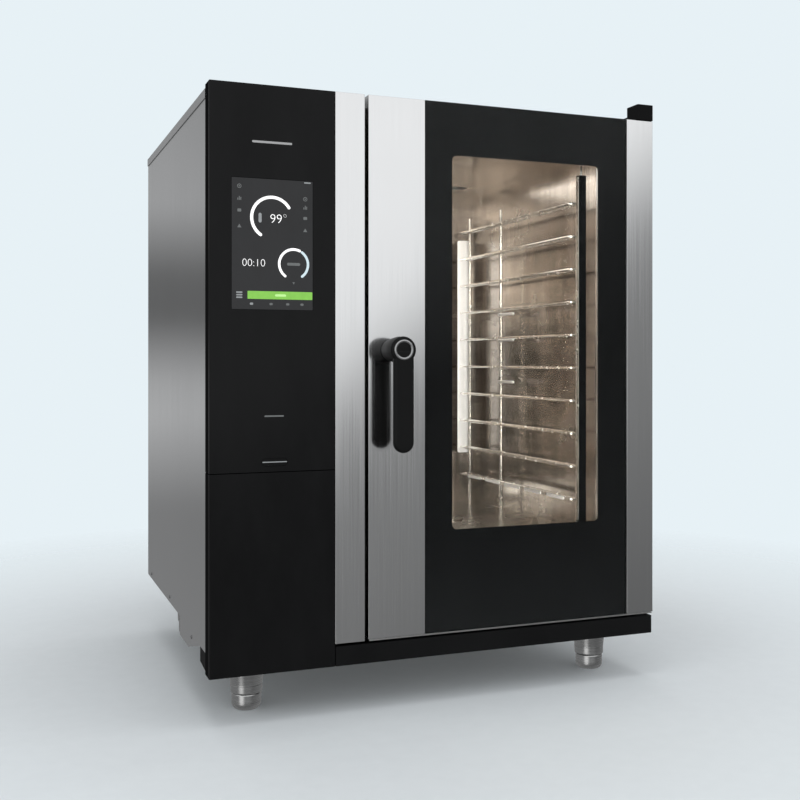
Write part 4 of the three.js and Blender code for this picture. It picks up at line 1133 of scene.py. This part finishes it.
def world():
    """Soft studio surroundings: bright in front and above, darker low down and behind the oven."""
    scene_world = bpy.data.worlds.new("studio")
    bpy.context.scene.world = scene_world
    scene_world.use_nodes = True
    tree = scene_world.node_tree
    background = tree.nodes["Background"]
    coords = tree.nodes.new("ShaderNodeTexCoord")
    split = tree.nodes.new("ShaderNodeSeparateXYZ")
    tree.links.new(coords.outputs["Generated"], split.inputs["Vector"])

    front = levels(tree, split, [
        (-1, 0.28), (-0.42, 0.15), (-0.22, 0.25), (-0.12, 0.27), (-0.05, 0.40), (0.0, 0.85), (0.05, 1.24),
        (0.5, 1.22), (1, 0.9),
    ], lean=0.75)
    behind = levels(tree, split, [
        (-1, 0.26), (-0.25, 0.27), (-0.13, 0.25), (-0.05, 0.55), (-0.02, 0.50), (0.04, 0.14), (0.08, 0.16),
        (0.14, 0.46), (0.3, 0.34), (1, 0.5),
    ])
    facing = spread(tree, split.outputs["Y"], 0, 1, -0.35, 0.35)
    around = blend(tree, facing, front, behind)
    around = blend(tree, low_band(tree, coords, split), around, (0.8, 0.8, 0.8))
    path = tree.nodes.new("ShaderNodeLightPath")
    seen = blend(tree, path.outputs["Is Camera Ray"], around, (0.40, 0.44, 0.46))
    tree.links.new(seen, background.inputs["Color"])
    background.inputs["Strength"].default_value = 2.0


def floor():
    """A plain pale floor that fades into the backdrop."""
    below = -0.4
    bm = bmesh.new()
    lathe(bm, [(0, below), (1500, below), (3200, below)], "z", (0, 0), 64)
    material, tree, shader = start_material("studio_floor", (0.80, 0.84, 0.86), roughness=0.7)
    grain = noise(tree, (30, 30, 30), detail=4)
    tone(tree, shader, grain, (0.79, 0.83, 0.85), (0.81, 0.85, 0.87))
    coords = tree.nodes.new("ShaderNodeTexCoord")
    length = tree.nodes.new("ShaderNodeVectorMath")
    length.operation = "LENGTH"
    tree.links.new(coords.outputs["Object"], length.inputs[0])
    clear_by(tree, spread(tree, length.outputs["Value"], 0, 1, 0.75, 2.0), shader)
    bmesh.ops.scale(bm, vec=(MM, MM, MM), verts=bm.verts)
    mesh = bpy.data.meshes.new("floor")
    bm.to_mesh(mesh)
    bm.free()
    mesh.materials.append(material)
    obj = put("floor", mesh)
    obj.visible_glossy = False


def area_light(name, location, target, size, energy, color=(1, 1, 1), size_y=None):
    """An area light turned to a target; its places and sizes are in metres."""
    data = bpy.data.lights.new(name, "AREA")
    data.energy = energy
    data.color = color
    data.size = size
    if size_y:
        data.shape = "RECTANGLE"
        data.size_y = size_y
    obj = put(name, data)
    obj.location = location
    obj.rotation_euler = (Vector(target) - Vector(location)).to_track_quat("-Z", "Y").to_euler()
    return obj


def lights():
    """One soft light above the oven, and four small ones that stand for its cavity lamp."""
    top = area_light("top_light", (0.0, 0.1, 3.2), (0, 0, 0), 2.4, 26)
    top.visible_glossy = False
    warm = (1, 0.95, 0.88)
    cavity_lamp = area_light(
        "cavity_lamp", (0.30, -0.262, 0.66), (0.0, 0.2, 0.66), 0.02, 2.7, (1, 0.96, 0.91), size_y=0.70)
    cavity_lamp.rotation_euler = (math.radians(90), 0, math.radians(28))
    ceiling = area_light(
        "cavity_glow", (0.12, 0.02, 1.055), (0.12, 0.02, 0), 0.30, 1.05, (1, 0.95, 0.90), size_y=0.45)
    fill = area_light("cavity_fill", (0.02, -0.24, 0.90), (0.25, 0.34, 1.0), 0.18, 0.65, warm, size_y=0.20)
    kick = area_light("cavity_kick", (0.18, 0.338, 0.298), (0.18, 0.0, 0.29), 0.20, 0.03, warm, size_y=0.02)
    for lamp in (ceiling, fill, kick):
        lamp.visible_camera = False
        lamp.visible_transmission = False
    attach(cavity_lamp, "door")
    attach(fill, "door")


def camera():
    data = bpy.data.cameras.new("camera")
    data.lens = 48.07
    data.sensor_width = 36
    data.shift_y = -0.0486
    obj = put("camera", data)
    obj.location = (-0.8056, -2.1696, 0.6335)
    obj.rotation_euler = Vector((0.3612, 0.9325, 0)).to_track_quat("-Z", "Y").to_euler()
    bpy.context.scene.camera = obj


camera()
world()
floor()
lights()
bpy.context.scene.view_settings.view_transform = "Standard"

for build in (
    leg_bells, base_tray, feet, hinge_blocks, casing_sheets, casing_screws, louvre_hoods, fan_guard,
    cooling_fan, cable_gland, display, control_column, gasket, racks, fan_and_heater, cavity, plumbing,
    roof_fittings, door, handle,
):
    build()
